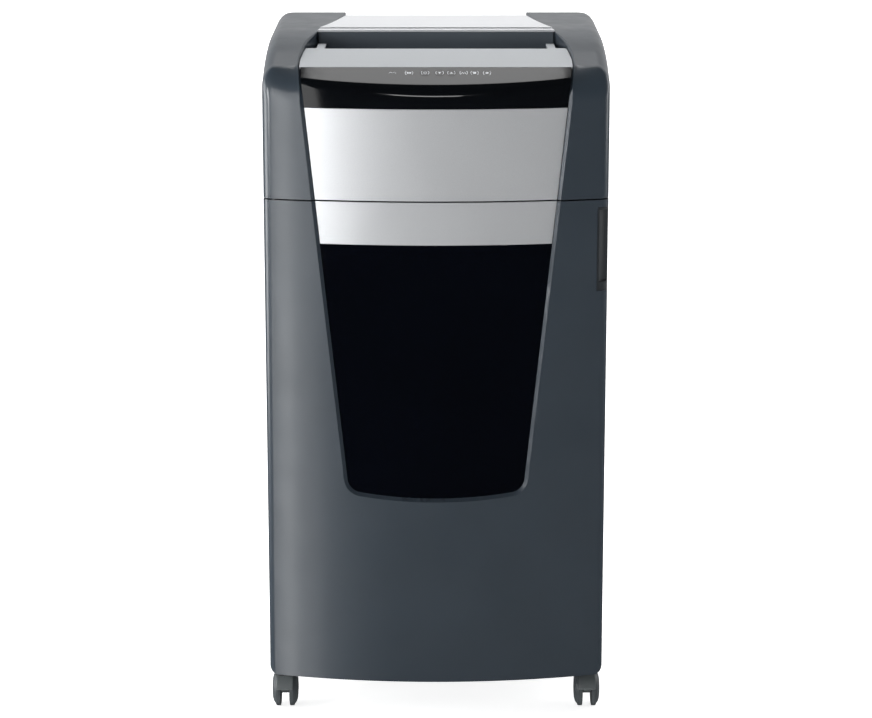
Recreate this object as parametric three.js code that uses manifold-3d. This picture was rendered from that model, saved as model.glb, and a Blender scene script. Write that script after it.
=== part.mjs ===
// Floor-standing office paper shredder: a cabinet on four castors, a bowed door, a pull-out bin
// and a cutting head whose two charcoal shoulders hold a silver and gloss-black front.
// Millimetres, +Z up, the front faces -Y, the origin is on the floor under the cabinet's middle.
import * as THREE from "three";
import { mergeVertices } from "three/addons/utils/BufferGeometryUtils.js";
import Module from "manifold-3d";

const wasm = await Module();
wasm.setup();

// ---------------------------------------------------------------- driving dimensions
const WIDTH = 480;
const DEPTH = 408;
const CABINET_BOTTOM = 67; // lower edge of door and side panels
const WINDOW_BOTTOM = 339; // lowest point of the smoked window's arched edge
const STRIP_BOTTOM = 701.6; // silver strip above the window
const SEAM = 762.4; // joint between door and head
const FASCIA_TOP = 890.8; // silver fascia meets the gloss band
const HEAD_TOP = 985; // rear end of the shoulders

const HALF = WIDTH / 2;
const FRONT = -DEPTH / 2;
const REAR = DEPTH / 2;
const GAP = 0.4; // clearance between fitted pieces
const SEAM_GAP = 2; // shadow line round the door
const WALL = 3;
const SIDE_PANEL = 10;
const SKIN = 5; // thick mouldings: door front and shoulders
const BOW_RADIUS = 844; // plan radius of the bowed front
const CORNER_SETBACK = 9; // where the bow ends before the vertical corner
const REAR_CORNER = 25;
const CASE_TOP = SEAM - SEAM_GAP / 2;
const HEAD_BOTTOM = SEAM + SEAM_GAP / 2;

// Tapered centre field of the front: its half width shrinks downwards.
const FIELD_HALF_TOP = 181.5;
const FIELD_TAPER = 0.1075;
const FIELD_ARCH = 768; // radius of the window's lower edge
const FIELD_CORNER = 21;
const FIELD_LAP = 6; // flange hidden behind the skin

// Door: swings about a vertical pin near the left edge.
const DOOR_BACK = -144;
const HINGE_X = -224;
const HINGE_Y = -160;
const HINGE_ROUND = 16;
const HINGE_PIN = 4;
const PANEL_FRONT = DOOR_BACK + 1.5; // front edge of the cabinet sides

// Cutting head.
const CUTTER_Z = 860;
const CUTTER_FRONT_Y = -75;
const CUTTER_SPACING = 55;
const CUTTER_MID_Y = CUTTER_FRONT_Y + CUTTER_SPACING / 2;
const DISC_RADIUS = 30;
const SPACER_RADIUS = 24;
const DISC_PITCH = 24;
const DISC_WIDTH = 10.4;
const DISC_COUNT = 13;
const JOURNAL_RADIUS = 9;
const SIDE_PLATE_X = 162; // inner face of the cutter side plates
const SIDE_PLATE = 5;
const GEAR_MODULE = 2.5;
const GEAR_TEETH = 22;
const GEAR_WIDTH = 12;
const GEAR_X = -(SIDE_PLATE_X + SIDE_PLATE + 4 + GEAR_WIDTH / 2);
const PINION_TEETH = 12;

// Paper throat.
const SLOT_HALF = 156.5; // A3 wide entry
const THROAT_HALF = 168;
const DECK_FRONT = [-155, 943.6];
const DECK_REAR = [-81.4, 961];
const THROAT_REAR_Y = -14;
const THROAT_FLOOR = 902; // lower edge of the paper guides
const TRIM_FRONT_Z = 977.3;
const TRIM_REAR = [-2, 981.4];
const COVER_FRONT = [-2, 983.1];
const COVER_REAR = [199, 981.2];
const COVER_LIP = 1; // thin front lip over a dark shadow gap
const COVER_RECESS = 5;
const WELL_FLOOR = 925; // lower edge of the shoulders' inner walls
const BACK_COVER_TOP = 976;

// Castors.
const CASTOR_X = 221;
const CASTOR_FRONT_Y = -128;
const CASTOR_REAR_Y = 150;
const CASTOR_TRAIL = 13; // axle behind the swivel stem
const WHEEL_RADIUS = 27;
const WHEEL_INNER = 6.4;
const WHEEL_OUTER = 18.8;
const STEM_RADIUS = 5;

// Bin.
const BIN_HALF = 176;
const BIN_FRONT = -125;
const BIN_BACK = 185;
const BIN_BOTTOM = 88.5;
const BIN_TOP = 700;

// ---------------------------------------------------------------- materials
function finish(color, roughness, metalness = 0) {
  return () => new THREE.MeshStandardMaterial({ color, roughness, metalness });
}
const charcoal = finish(0x50585f, 0.5);
const darkPlastic = finish(0x23272b, 0.55);
const silver = finish(0xb9bdc1, 0.35, 0.6);
const paleSilver = finish(0xd9dbdd, 0.4, 0.3);
const gloss = finish(0x08090b, 0.08);
const steel = finish(0x9a9ea2, 0.35, 1);
const board = finish(0x1f5a3a, 0.6);
const liner = finish(0x6b7075, 0.7);
const tyre = finish(0x2f3438, 0.6);

// ---------------------------------------------------------------- solids
const MERGE_DISTANCE = 1e-3;
const AXIS_FRAMES = {
  x: [new THREE.Vector3(0, 1, 0), new THREE.Vector3(0, 0, 1), new THREE.Vector3(1, 0, 0)],
  y: [new THREE.Vector3(0, 0, 1), new THREE.Vector3(1, 0, 0), new THREE.Vector3(0, 1, 0)],
  z: [new THREE.Vector3(1, 0, 0), new THREE.Vector3(0, 1, 0), new THREE.Vector3(0, 0, 1)],
};

function toSolid(geometry) {
  const plain = geometry.index ? geometry.toNonIndexed() : geometry.clone();
  plain.deleteAttribute("normal");
  plain.deleteAttribute("uv");
  const merged = mergeVertices(plain, MERGE_DISTANCE);
  return new wasm.Manifold(
    new wasm.Mesh({
      numProp: 3,
      vertProperties: merged.getAttribute("position").array,
      triVerts: new Uint32Array(merged.index.array),
    }),
  );
}

function toGeometry(solid) {
  const mesh = solid.getMesh();
  const indexed = new THREE.BufferGeometry()
    .setAttribute("position", new THREE.BufferAttribute(mesh.vertProperties, 3))
    .setIndex(new THREE.BufferAttribute(mesh.triVerts, 1));
  const geometry = indexed.toNonIndexed();
  geometry.computeVertexNormals();
  return geometry;
}

// A box between two corners.
function box(x0, x1, y0, y1, z0, z1) {
  const geometry = new THREE.BoxGeometry(x1 - x0, y1 - y0, z1 - z0);
  return toSolid(geometry.translate((x0 + x1) / 2, (y0 + y1) / 2, (z0 + z1) / 2));
}

// An outline extruded along an axis: [y, z] points along x, [x, z] along y, [x, y] along z.
function prism(points, axis, from, to) {
  const flat = points.map(([a, b]) =>
    axis === "y" ? new THREE.Vector2(b, a) : new THREE.Vector2(a, b),
  );
  const options = { depth: to - from, bevelEnabled: false };
  const geometry = new THREE.ExtrudeGeometry(new THREE.Shape(flat), options);
  geometry.translate(0, 0, from);
  return toSolid(geometry.applyMatrix4(new THREE.Matrix4().makeBasis(...AXIS_FRAMES[axis])));
}

// A round bar along an axis; (a, b) is its centre in the two other coordinates, in x-y-z order.
function rod(radius, axis, from, to, a, b, sides = 16) {
  const geometry = new THREE.CylinderGeometry(radius, radius, to - from, sides);
  const middle = (from + to) / 2;
  if (axis === "x") return toSolid(geometry.rotateZ(-Math.PI / 2).translate(middle, a, b));
  if (axis === "y") return toSolid(geometry.translate(a, middle, b));
  return toSolid(geometry.rotateX(Math.PI / 2).translate(a, b, middle));
}

// A closed turned profile of [radius, x] points, spun about the x axis.
function turned(profile, sides) {
  const points = profile.map(([r, x]) => new THREE.Vector2(r, x));
  points.push(points[0].clone());
  const geometry = new THREE.LatheGeometry(points, sides).rotateZ(-Math.PI / 2);
  const solid = toSolid(geometry);
  return solid.volume() < 0 ? toSolid(flipped(geometry)) : solid;
}

function flipped(geometry) {
  const plain = geometry.index ? geometry.toNonIndexed() : geometry.clone();
  const place = plain.getAttribute("position");
  const corner = new THREE.Vector3();
  for (let i = 0; i < place.count; i += 3) {
    corner.fromBufferAttribute(place, i + 1);
    place.setXYZ(i + 1, place.getX(i + 2), place.getY(i + 2), place.getZ(i + 2));
    place.setXYZ(i + 2, corner.x, corner.y, corner.z);
  }
  return plain;
}

// A skin over rings of [x, y, z] points; flatten gives a ring point's place in its own plane.
function loft(rings, flatten) {
  const count = rings[0].length;
  const triangles = [];
  for (let r = 0; r + 1 < rings.length; r++) {
    for (let i = 0; i < count; i++) {
      const next = (i + 1) % count;
      const [a, b, c, d] = [rings[r][i], rings[r][next], rings[r + 1][next], rings[r + 1][i]];
      triangles.push(a, b, c, a, c, d);
    }
  }
  const capOf = (ring) => THREE.ShapeUtils.triangulateShape(ring.map(flatten), []);
  const outline = rings[0].map(flatten);
  const clockwise = THREE.ShapeUtils.isClockWise(outline);
  for (const [ring, first] of [[rings[0], true], [rings.at(-1), false]]) {
    for (const [i, j, k] of capOf(ring)) {
      const turn = new THREE.Vector2().subVectors(flatten(ring[j]), flatten(ring[i]))
        .cross(new THREE.Vector2().subVectors(flatten(ring[k]), flatten(ring[i])));
      const followsRing = turn < 0 === clockwise;
      const keep = first !== followsRing;
      triangles.push(ring[i], keep ? ring[j] : ring[k], keep ? ring[k] : ring[j]);
    }
  }
  const position = new THREE.Float32BufferAttribute(triangles.flat(), 3);
  const geometry = new THREE.BufferGeometry().setAttribute("position", position);
  const solid = toSolid(geometry);
  return solid.volume() < 0 ? toSolid(flipped(geometry)) : solid;
}

const model = new THREE.Group();

// Adds one piece to the model, or to a group within it.
function add(name, solid, material, parent = model) {
  const mesh = new THREE.Mesh(toGeometry(solid), material());
  mesh.name = name;
  parent.add(mesh);
  return mesh;
}

function steps(from, to, count) {
  return Array.from({ length: count + 1 }, (_, i) => from + ((to - from) * i) / count);
}

function arc(cx, cy, radius, fromDeg, toDeg, count) {
  return steps(fromDeg, toDeg, count).map((deg) => {
    const angle = THREE.MathUtils.degToRad(deg);
    return [cx + radius * Math.cos(angle), cy + radius * Math.sin(angle)];
  });
}

// ---------------------------------------------------------------- shared outlines
const BOW_STEPS = 14;

// How far the bowed front falls back at x.
function bow(x) {
  return BOW_RADIUS - Math.sqrt(BOW_RADIUS ** 2 - x ** 2);
}

function fieldHalf(z) {
  return FIELD_HALF_TOP - FIELD_TAPER * (FASCIA_TOP - z);
}

// Plan outline of a bowed layer between two depths behind the front surface.
function bowedLayer(from, to, half = HALF) {
  const xs = steps(-half, half, BOW_STEPS + 2);
  const near = xs.map((x) => [x, FRONT + from + bow(x)]);
  const far = xs.map((x) => [x, FRONT + to + bow(x)]).reverse();
  return [...near, ...far];
}

// A panel of the centre field, bowed in plan and tapered in the front view.
function fieldPanel(outline, from, to) {
  return prism(bowedLayer(from, to), "z", 0, HEAD_TOP).intersect(
    prism(outline, "y", FRONT - DEPTH, REAR),
  );
}

function fieldBand(bottom, top, lap) {
  const half = (z) => fieldHalf(z) + lap;
  return [[-half(bottom), bottom], [half(bottom), bottom], [half(top), top], [-half(top), top]];
}

const CORNER_ROUNDS = 6; // enough to settle the corner's centre to a thousandth

// The window's outline: arched lower edge, tapering sides, corners tangent to both.
function windowOutline(top, grow) {
  const tilt = Math.atan(FIELD_TAPER);
  const archZ = WINDOW_BOTTOM + FIELD_ARCH;
  let cornerX = fieldHalf(WINDOW_BOTTOM) - FIELD_CORNER;
  let cornerZ = WINDOW_BOTTOM + FIELD_CORNER;
  for (let i = 0; i < CORNER_ROUNDS; i++) {
    cornerZ = archZ - Math.sqrt((FIELD_ARCH - FIELD_CORNER) ** 2 - cornerX ** 2);
    cornerX = fieldHalf(cornerZ) - FIELD_CORNER / Math.cos(tilt);
  }
  const meet = THREE.MathUtils.radToDeg(Math.atan2(cornerZ - archZ, cornerX));
  const side = -THREE.MathUtils.radToDeg(tilt);
  const right = [
    ...arc(0, archZ, FIELD_ARCH + grow, -90, meet, 4).slice(0, -1),
    ...arc(cornerX, cornerZ, FIELD_CORNER + grow, meet, side, 4),
    [fieldHalf(top) + grow / Math.cos(tilt), top],
  ];
  const left = right.slice(1).map(([x, z]) => [-x, z]).reverse();
  return [...right, ...left];
}

// ---------------------------------------------------------------- cabinet
function casePlan(inset) {
  const radius = REAR_CORNER - inset;
  return arc(HALF - REAR_CORNER, REAR - REAR_CORNER, radius, 0, 90, 5);
}

// A plate's plan: straight sides and rear corners that follow the case, set in by inset.
function floorPlan(inset, front) {
  const right = [[HALF - inset, front], ...casePlan(inset)];
  return [...right, ...right.map(([x, y]) => [-x, y]).reverse()];
}

function sidePanel() {
  const outer = casePlan(0);
  const inner = casePlan(SIDE_PANEL).reverse();
  const plan = [[HALF, PANEL_FRONT], ...outer, ...inner, [HALF - SIDE_PANEL, PANEL_FRONT]];
  const foot = 10; // rounded lower front corner
  const profile = [
    ...arc(PANEL_FRONT + foot, CABINET_BOTTOM + foot, foot, 180, 270, 3),
    [REAR, CABINET_BOTTOM],
    [REAR, CASE_TOP],
    [PANEL_FRONT, CASE_TOP],
  ];
  return prism(plan, "z", CABINET_BOTTOM, CASE_TOP).intersect(
    prism(profile, "x", -HALF, HALF),
  );
}

const REAR_PANEL_HALF = HALF - REAR_CORNER - GAP;
const REAR_SHEET = 4;
const BASE_BOTTOM = 70;
const BASE_TOP = 88;
const TOP_FRAME_BOTTOM = 742;
const CASTOR_SPOTS = [
  ["front_left", -CASTOR_X, CASTOR_FRONT_Y],
  ["front_right", CASTOR_X, CASTOR_FRONT_Y],
  ["rear_left", -CASTOR_X, CASTOR_REAR_Y],
  ["rear_right", CASTOR_X, CASTOR_REAR_Y],
];

function basePanel() {
  let base = prism(floorPlan(SIDE_PANEL + GAP, PANEL_FRONT), "z", BASE_BOTTOM, BASE_TOP);
  for (const [, x, y] of CASTOR_SPOTS) {
    base = base.subtract(rod(STEM_RADIUS + GAP, "z", 0, BASE_TOP + 1, x, y, 12));
  }
  return base;
}

const CHUTE_HALF = 158;
const CHUTE_FRONT = -112;
const CHUTE_BACK = 18;

function chuteHole() {
  return box(-CHUTE_HALF, CHUTE_HALF, CHUTE_FRONT, CHUTE_BACK, TOP_FRAME_BOTTOM - 1, CUTTER_Z);
}

function topFrame() {
  const plan = floorPlan(SIDE_PANEL + GAP, PANEL_FRONT);
  return prism(plan, "z", TOP_FRAME_BOTTOM, CASE_TOP - 1).subtract(chuteHole());
}

function rearPanel() {
  return box(-REAR_PANEL_HALF, REAR_PANEL_HALF, REAR - REAR_SHEET, REAR, CABINET_BOTTOM, CASE_TOP);
}

const BRACKET_TOP = CABINET_BOTTOM - 0.8;
const PIN_REACH = 15;
const PIN_HEAD = 7;

// Door magnet and interlock switch under the top frame, near the door's free edge.
const CATCH_X = [196, 226];
const SWITCH_X = [150, 176];
const CATCH_Z = [722, TOP_FRAME_BOTTOM - GAP];
const MAGNET_DEPTH = 14;
const SWITCH_DEPTH = 20;
const DOOR_CLEARANCE = 2;

// A plate under the door's corner carries the pin; its foot is screwed up into the base panel,
// beside the castor's collar.
function lowerHingeBracket() {
  const footLeft = HINGE_X + 15;
  const footRight = footLeft + 20;
  const footBack = PANEL_FRONT + 32;
  const plan = [
    ...arc(HINGE_X, HINGE_Y, 9, 110, 330, 6),
    [footRight, PANEL_FRONT - 2],
    [footRight, footBack],
    [footLeft, footBack],
    [footLeft, PANEL_FRONT + 2],
  ];
  const arm = prism(plan, "z", BRACKET_TOP - WALL, BRACKET_TOP);
  const foot = box(footLeft, footRight, PANEL_FRONT + 2, footBack, BRACKET_TOP - 1, BASE_BOTTOM - GAP);
  const pin = rod(HINGE_PIN, "z", BRACKET_TOP - 1, CABINET_BOTTOM + PIN_REACH, HINGE_X, HINGE_Y, 12);
  return arm.add(foot).add(pin);
}

function upperHingePin() {
  const pin = rod(HINGE_PIN, "z", CASE_TOP - PIN_REACH, HEAD_BOTTOM + 8, HINGE_X, HINGE_Y, 12);
  return pin.add(rod(PIN_HEAD, "z", HEAD_BOTTOM + 3, HEAD_BOTTOM + 8, HINGE_X, HINGE_Y, 12));
}

// A block just behind the door, hung under the top frame.
function catchBlock([left, right], depth) {
  const front = PANEL_FRONT + DOOR_CLEARANCE;
  return box(left, right, front, front + depth, ...CATCH_Z);
}

function buildCabinet() {
  const right = sidePanel();
  add("right_side_panel", right, charcoal);
  add("left_side_panel", right.mirror([1, 0, 0]), charcoal);
  add("rear_panel", rearPanel(), charcoal);
  add("base_panel", basePanel(), darkPlastic);
  add("top_frame", topFrame(), darkPlastic);
  add("lower_hinge_bracket", lowerHingeBracket(), steel);
  add("upper_hinge_pin", upperHingePin(), steel);
  add("door_magnet", catchBlock(CATCH_X, MAGNET_DEPTH), darkPlastic);
  add("door_interlock_switch", catchBlock(SWITCH_X, SWITCH_DEPTH), darkPlastic);
}

// ---------------------------------------------------------------- door
const GRIP_X = 246;
const GRIP_Y = -177;
const GRIP_RADIUS = 22;
const GRIP_BOTTOM = 633;
const GRIP_TOP = 751;
const GRIP_WALL = 2;
const DOOR_FOOT = 13; // radius of the door's lower corners
const LINER = 3;
const LOOK_HALF = 140; // opening in the liner behind the window
const LOOK_Z = [350, 690];
const CATCH_PLATE = 0.8;

function doorPlan() {
  const bowHalf = HALF - CORNER_SETBACK;
  const bowEnd = FRONT + bow(bowHalf);
  const front = steps(-bowHalf, bowHalf, BOW_STEPS).map((x) => [x, FRONT + bow(x)]);
  const hinge = arc(HINGE_X, HINGE_Y, HINGE_ROUND, 90, 180, 5);
  const side = [[HALF - 2.5, bowEnd + 3], [HALF, bowEnd + CORNER_SETBACK], [HALF, DOOR_BACK]];
  return [...hinge, [-HALF + 2.5, bowEnd + 3], ...front, ...side];
}

function doorFrontView() {
  const r = DOOR_FOOT;
  return [
    [-HALF, CASE_TOP],
    ...arc(-HALF + r, CABINET_BOTTOM + r, r, 180, 270, 3),
    ...arc(HALF - r, CABINET_BOTTOM + r, r, 270, 360, 3),
    [HALF, CASE_TOP],
  ];
}

function doorPanel() {
  const outer = prism(doorPlan(), "z", CABINET_BOTTOM, CASE_TOP).intersect(
    prism(doorFrontView(), "y", FRONT - 1, 0),
  );
  const innerLeft = HINGE_X + 20;
  const innerRight = HALF - WALL;
  const skinXs = steps(innerLeft, innerRight - 8, BOW_STEPS);
  const cavityPlan = [
    ...skinXs.map((x) => [x, FRONT + SKIN + bow(x)]),
    [innerRight, FRONT + SKIN + bow(innerRight) + 6],
    [innerRight, DOOR_BACK + 1],
    [innerLeft, DOOR_BACK + 1],
  ];
  const cavity = prism(cavityPlan, "z", CABINET_BOTTOM + WALL, CASE_TOP - WALL);
  const field = fieldPanel(windowOutline(CASE_TOP + 1, 0), -5, SKIN + 3.7);
  const bore = (from, to) => rod(HINGE_PIN + GAP, "z", from, to, HINGE_X, HINGE_Y, 12);
  return outer
    .subtract(cavity)
    .subtract(field)
    .subtract(bore(CABINET_BOTTOM - 1, CABINET_BOTTOM + PIN_REACH + 2))
    .subtract(bore(CASE_TOP - PIN_REACH - 2, CASE_TOP + 1))
    .subtract(rod(GRIP_RADIUS, "z", GRIP_BOTTOM, GRIP_TOP, GRIP_X, GRIP_Y, 20));
}

// A finger scoop let into the free edge of the door.
function doorGrip() {
  const shell = rod(GRIP_RADIUS - GAP, "z", GRIP_BOTTOM + GAP, GRIP_TOP - GAP, GRIP_X, GRIP_Y, 20);
  const scoop = rod(GRIP_RADIUS - GAP - GRIP_WALL, "z", GRIP_BOTTOM + 12, GRIP_TOP - 3,
    GRIP_X, GRIP_Y, 20);
  const inset = 0.5;
  const body = prism(doorPlan().map(([x, y]) => [x - inset, y + inset]), "z", 0, HEAD_TOP);
  return shell.intersect(body).subtract(scoop);
}

function doorLiner() {
  const left = HINGE_X + 20 + GAP;
  const right = HALF - WALL - GAP;
  const bottom = CABINET_BOTTOM + WALL + GAP;
  const panel = box(left, right, DOOR_BACK - LINER, DOOR_BACK, bottom, CASE_TOP - WALL - GAP);
  return panel.subtract(
    box(-LOOK_HALF, LOOK_HALF, DOOR_BACK - LINER - 1, DOOR_BACK + 1, ...LOOK_Z),
  );
}

function buildDoor() {
  const glassFront = SKIN + GAP;
  const glassBack = glassFront + WALL;
  add("door_panel", doorPanel(), charcoal);
  add("door_inner_liner", doorLiner(), liner);
  const glass = windowOutline(STRIP_BOTTOM - GAP / 2, FIELD_LAP);
  add("door_window", fieldPanel(glass, glassFront, glassBack), gloss);
  const stripTop = CASE_TOP - WALL - GAP;
  const lapped = fieldBand(STRIP_BOTTOM + GAP / 2, stripTop, FIELD_LAP);
  const lip = fieldBand(stripTop - 1, CASE_TOP, -GAP);
  const strip = fieldPanel(lapped, glassFront, glassBack).add(fieldPanel(lip, glassFront, glassBack));
  add("door_silver_strip", strip, silver);
  add("door_grip", doorGrip(), darkPlastic);
  const platePlace = DOOR_BACK + GAP;
  const plate = box(...CATCH_X, platePlace, platePlace + CATCH_PLATE, ...CATCH_Z);
  add("door_catch_plate", plate, steel);
}

// ---------------------------------------------------------------- bin
const BIN_TAPER = 8;
const BIN_RIM = 5;
const HAND_HALF = 55;
const HAND_Z = [BIN_TOP - 60, BIN_TOP - 30];

function shredBin() {
  const ring = (z, grow) => {
    const lean = (BIN_TAPER * (BIN_TOP - z)) / (BIN_TOP - BIN_BOTTOM);
    const half = BIN_HALF - lean + grow;
    return [
      [-half, BIN_FRONT + lean - grow, z],
      [half, BIN_FRONT + lean - grow, z],
      [half, BIN_BACK - lean + grow, z],
      [-half, BIN_BACK - lean + grow, z],
    ];
  };
  const flatten = ([x, y]) => new THREE.Vector2(x, y);
  const outer = loft([ring(BIN_BOTTOM, 0), ring(BIN_TOP, 0)], flatten);
  const inner = loft([ring(BIN_BOTTOM + WALL, -WALL), ring(BIN_TOP + 1, -WALL)], flatten);
  const rimHalf = BIN_HALF + BIN_RIM;
  const rim = box(-rimHalf, rimHalf, BIN_FRONT - BIN_RIM, BIN_BACK + BIN_RIM, BIN_TOP - 4, BIN_TOP);
  const handHole = box(-HAND_HALF, HAND_HALF, BIN_FRONT - 20, BIN_FRONT + 20, ...HAND_Z);
  return outer.add(rim).subtract(inner).subtract(handHole);
}

// ---------------------------------------------------------------- head
// Top line of the shoulders from the front knee to the rear, as [y, z].
const CROWN = [
  [-190, 872],
  [-182, 904],
  [-165, 927],
  [-135, 945],
  [-90, 960],
  [-20, 976],
  [60, 981],
  [REAR, HEAD_TOP],
];
// Inner edge of the right shoulder in plan, as [y, x].
const INNER_EDGE = [
  [-230, 188],
  [-170, 190],
  [-125, 191],
  [-66, 183],
  [-18, 171],
  [40, 158.5],
  [110, 147.5],
  [REAR + 2, 136],
];
const EDGE_WIDTH = 20; // rounding of the shoulder's outer top edge
const EDGE_HEIGHT = 27;
const EDGE_STEPS = 4;
const HEAD_CORNER = 18; // vertical front corner of the head

function smoothLine(points, count) {
  const curve = new THREE.SplineCurve(points.map(([a, b]) => new THREE.Vector2(a, b)));
  return curve.getPoints(count).map((point) => [point.x, point.y]);
}

function shoulderLoft(inset) {
  const rings = smoothLine(CROWN, 22).map(([y, z]) => {
    const side = HALF - inset;
    const top = z - inset;
    const edge = steps(0, 90, EDGE_STEPS).map((deg) => {
      const angle = THREE.MathUtils.degToRad(deg);
      return [
        side - EDGE_WIDTH * (1 - Math.cos(angle)),
        y,
        top - EDGE_HEIGHT * (1 - Math.sin(angle)),
      ];
    });
    return [[100, y, HEAD_BOTTOM - inset], [side, y, HEAD_BOTTOM - inset], ...edge, [100, y, top]];
  });
  return loft(rings, ([x, , z]) => new THREE.Vector2(x, z));
}

function shoulderPlan(inset) {
  const bowHalf = HALF - HEAD_CORNER;
  const bowEnd = FRONT + bow(bowHalf);
  const front = steps(90, bowHalf, 8).map((x) => [x, FRONT + inset + bow(x)]);
  const corner = arc(HALF - HEAD_CORNER, bowEnd + HEAD_CORNER, HEAD_CORNER - inset, -72, 0, 4);
  return [...front, ...corner, ...casePlan(inset), [90, REAR - inset]];
}

function innerWell(shift, bottom, top) {
  const edge = smoothLine(INNER_EDGE, 14).map(([y, x]) => [x + shift, y]);
  return prism([...edge, [-10, REAR + 2], [-10, -230]], "z", bottom, top);
}

function rightShoulder() {
  const wall = SKIN;
  const outer = shoulderLoft(0).intersect(prism(shoulderPlan(0), "z", HEAD_BOTTOM, HEAD_TOP + 1));
  const hollow = shoulderLoft(wall)
    .intersect(prism(shoulderPlan(wall), "z", 0, HEAD_TOP + 1))
    .subtract(innerWell(wall, WELL_FLOOR, HEAD_TOP + 1));
  const fieldCut = prism(fieldBand(SEAM - 5, HEAD_TOP + 5, 0), "y", FRONT - 5, -140);
  const doorwayTop = BACK_COVER_TOP + GAP;
  const rearDoorway = box(0, HALF - REAR_CORNER, REAR - 20, REAR + 5, SEAM - 5, doorwayTop);
  return outer
    .subtract(hollow)
    .subtract(innerWell(0, WELL_FLOOR, HEAD_TOP + 5))
    .subtract(fieldCut)
    .subtract(rearDoorway);
}

function headFascia() {
  const depth = SKIN + GAP;
  return fieldPanel(fieldBand(HEAD_BOTTOM, FASCIA_TOP - GAP, FIELD_LAP), depth, depth + WALL);
}

// The gloss band: upright at the bottom, rolling over to a flat slope that carries the keys.
const BAND_SLOPE = THREE.MathUtils.degToRad(33.6);
const BAND_ROLL = 33; // bend radius at the middle
const BAND_ROLL_END = 12; // bend radius beside the shoulders

function bandProfile(x, depth) {
  const front = FRONT + SKIN + GAP + bow(x);
  const [deckY, deckZ] = DECK_FRONT;
  const corner = deckZ - (deckY - front) * Math.tan(BAND_SLOPE);
  const turn = Math.PI / 2 - BAND_SLOPE;
  const roll = BAND_ROLL - (BAND_ROLL - BAND_ROLL_END) * (x / FIELD_HALF_TOP) ** 2;
  const start = corner - roll * Math.tan(turn / 2);
  const radius = roll - depth;
  const bend = steps(0, turn, 4).map((angle) => [
    front + roll - radius * Math.cos(angle),
    start + radius * Math.sin(angle),
  ]);
  return [[front + depth, FASCIA_TOP], ...bend, [deckY, deckZ - depth / Math.cos(BAND_SLOPE)]];
}

const KEYS = { standby_key: -15, reverse_key: 5, forward_key: 21 };
const KEY_RADIUS = 6.4;
const KEY_REACH = 12.4; // from the deck's edge down the slope
const KEY_TRAVEL_ROOM = 1.5;
const KEY_RISE = 0.2;

// A short round bar standing on the sloping band, between two heights above its surface.
function slopeRod(radius, from, to, x) {
  const geometry = new THREE.CylinderGeometry(radius, radius, to - from, 18);
  geometry.rotateX(Math.PI / 2).translate(0, 0, (from + to) / 2).rotateX(BAND_SLOPE);
  const y = DECK_FRONT[0] - KEY_REACH * Math.cos(BAND_SLOPE);
  const z = DECK_FRONT[1] - KEY_REACH * Math.sin(BAND_SLOPE);
  return toSolid(geometry.translate(x, y, z));
}

function controlPanel() {
  const rings = steps(-196, 196, 14).map((x) => {
    const face = bandProfile(x, 0);
    const back = bandProfile(x, WALL).reverse();
    return [...face, ...back].map(([y, z]) => [x, y, z]);
  });
  let panel = loft(rings, ([, y, z]) => new THREE.Vector2(y, z)).intersect(
    prism(fieldBand(FASCIA_TOP, 960, -GAP), "y", FRONT, -100),
  );
  for (const x of Object.values(KEYS)) {
    panel = panel.subtract(slopeRod(KEY_RADIUS + GAP, -8, 4, x));
  }
  return panel;
}

const SHEET_CUT = [900, 1000]; // heights past both faces of the head's top sheets

// A sheet with a side profile whose ends follow the shoulders' inner edges, set in by inset.
function sheet(profile, inset) {
  const lower = profile.map(([y, z]) => [y, z - WALL]).reverse();
  const well = innerWell(-inset, ...SHEET_CUT);
  return prism([...profile, ...lower], "x", -HALF, HALF).intersect(
    well.add(well.mirror([1, 0, 0])),
  );
}

function frontDeck() {
  const profile = [
    [DECK_FRONT[0] + GAP, DECK_FRONT[1]],
    DECK_REAR,
    [THROAT_REAR_Y - GAP, DECK_REAR[1]],
  ];
  const slot = box(-SLOT_HALF, SLOT_HALF, DECK_REAR[0], 0, ...SHEET_CUT);
  const shadowGap = 2.5;
  const trimmed = sheet(profile, shadowGap);
  const ends = box(THROAT_HALF, HALF, DECK_REAR[0] + 5, 0, ...SHEET_CUT);
  return trimmed.subtract(slot).subtract(ends).subtract(ends.mirror([1, 0, 0]));
}

const THROAT_BEND = 940; // below this the rear wall leans towards the cutters
const CHEEK = 3;

// The sloping front plate with a cheek at each end that closes the throat's sides.
function throatFrontGuide() {
  const top = DECK_REAR[1] - WALL - 2 * GAP;
  const front = DECK_REAR[0] - 1;
  const tip = [CUTTER_MID_Y - 11, THROAT_FLOOR];
  const slope = [[front, top], [front + WALL, top], [tip[0] + WALL, tip[1]], tip];
  const cheek = [
    [front, top],
    [THROAT_REAR_Y - 1, top],
    [THROAT_REAR_Y - 1, THROAT_BEND],
    [CUTTER_MID_Y + 7, THROAT_FLOOR],
    tip,
  ];
  const end = prism(cheek, "x", SLOT_HALF + 0.5, SLOT_HALF + 0.5 + CHEEK);
  return prism(slope, "x", -SLOT_HALF - 1, SLOT_HALF + 1).add(end).add(end.mirror([1, 0, 0]));
}

function throatRearWall() {
  const top = TRIM_FRONT_Z - GAP;
  const back = THROAT_REAR_Y + WALL;
  const tipY = CUTTER_MID_Y + 8;
  const profile = [
    [THROAT_REAR_Y, top],
    [THROAT_REAR_Y, THROAT_BEND],
    [tipY, THROAT_FLOOR],
    [tipY + WALL, THROAT_FLOOR],
    [back, THROAT_BEND - 1],
    [back, top],
  ];
  return prism(profile, "x", GAP - THROAT_HALF, THROAT_HALF - GAP);
}

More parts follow.
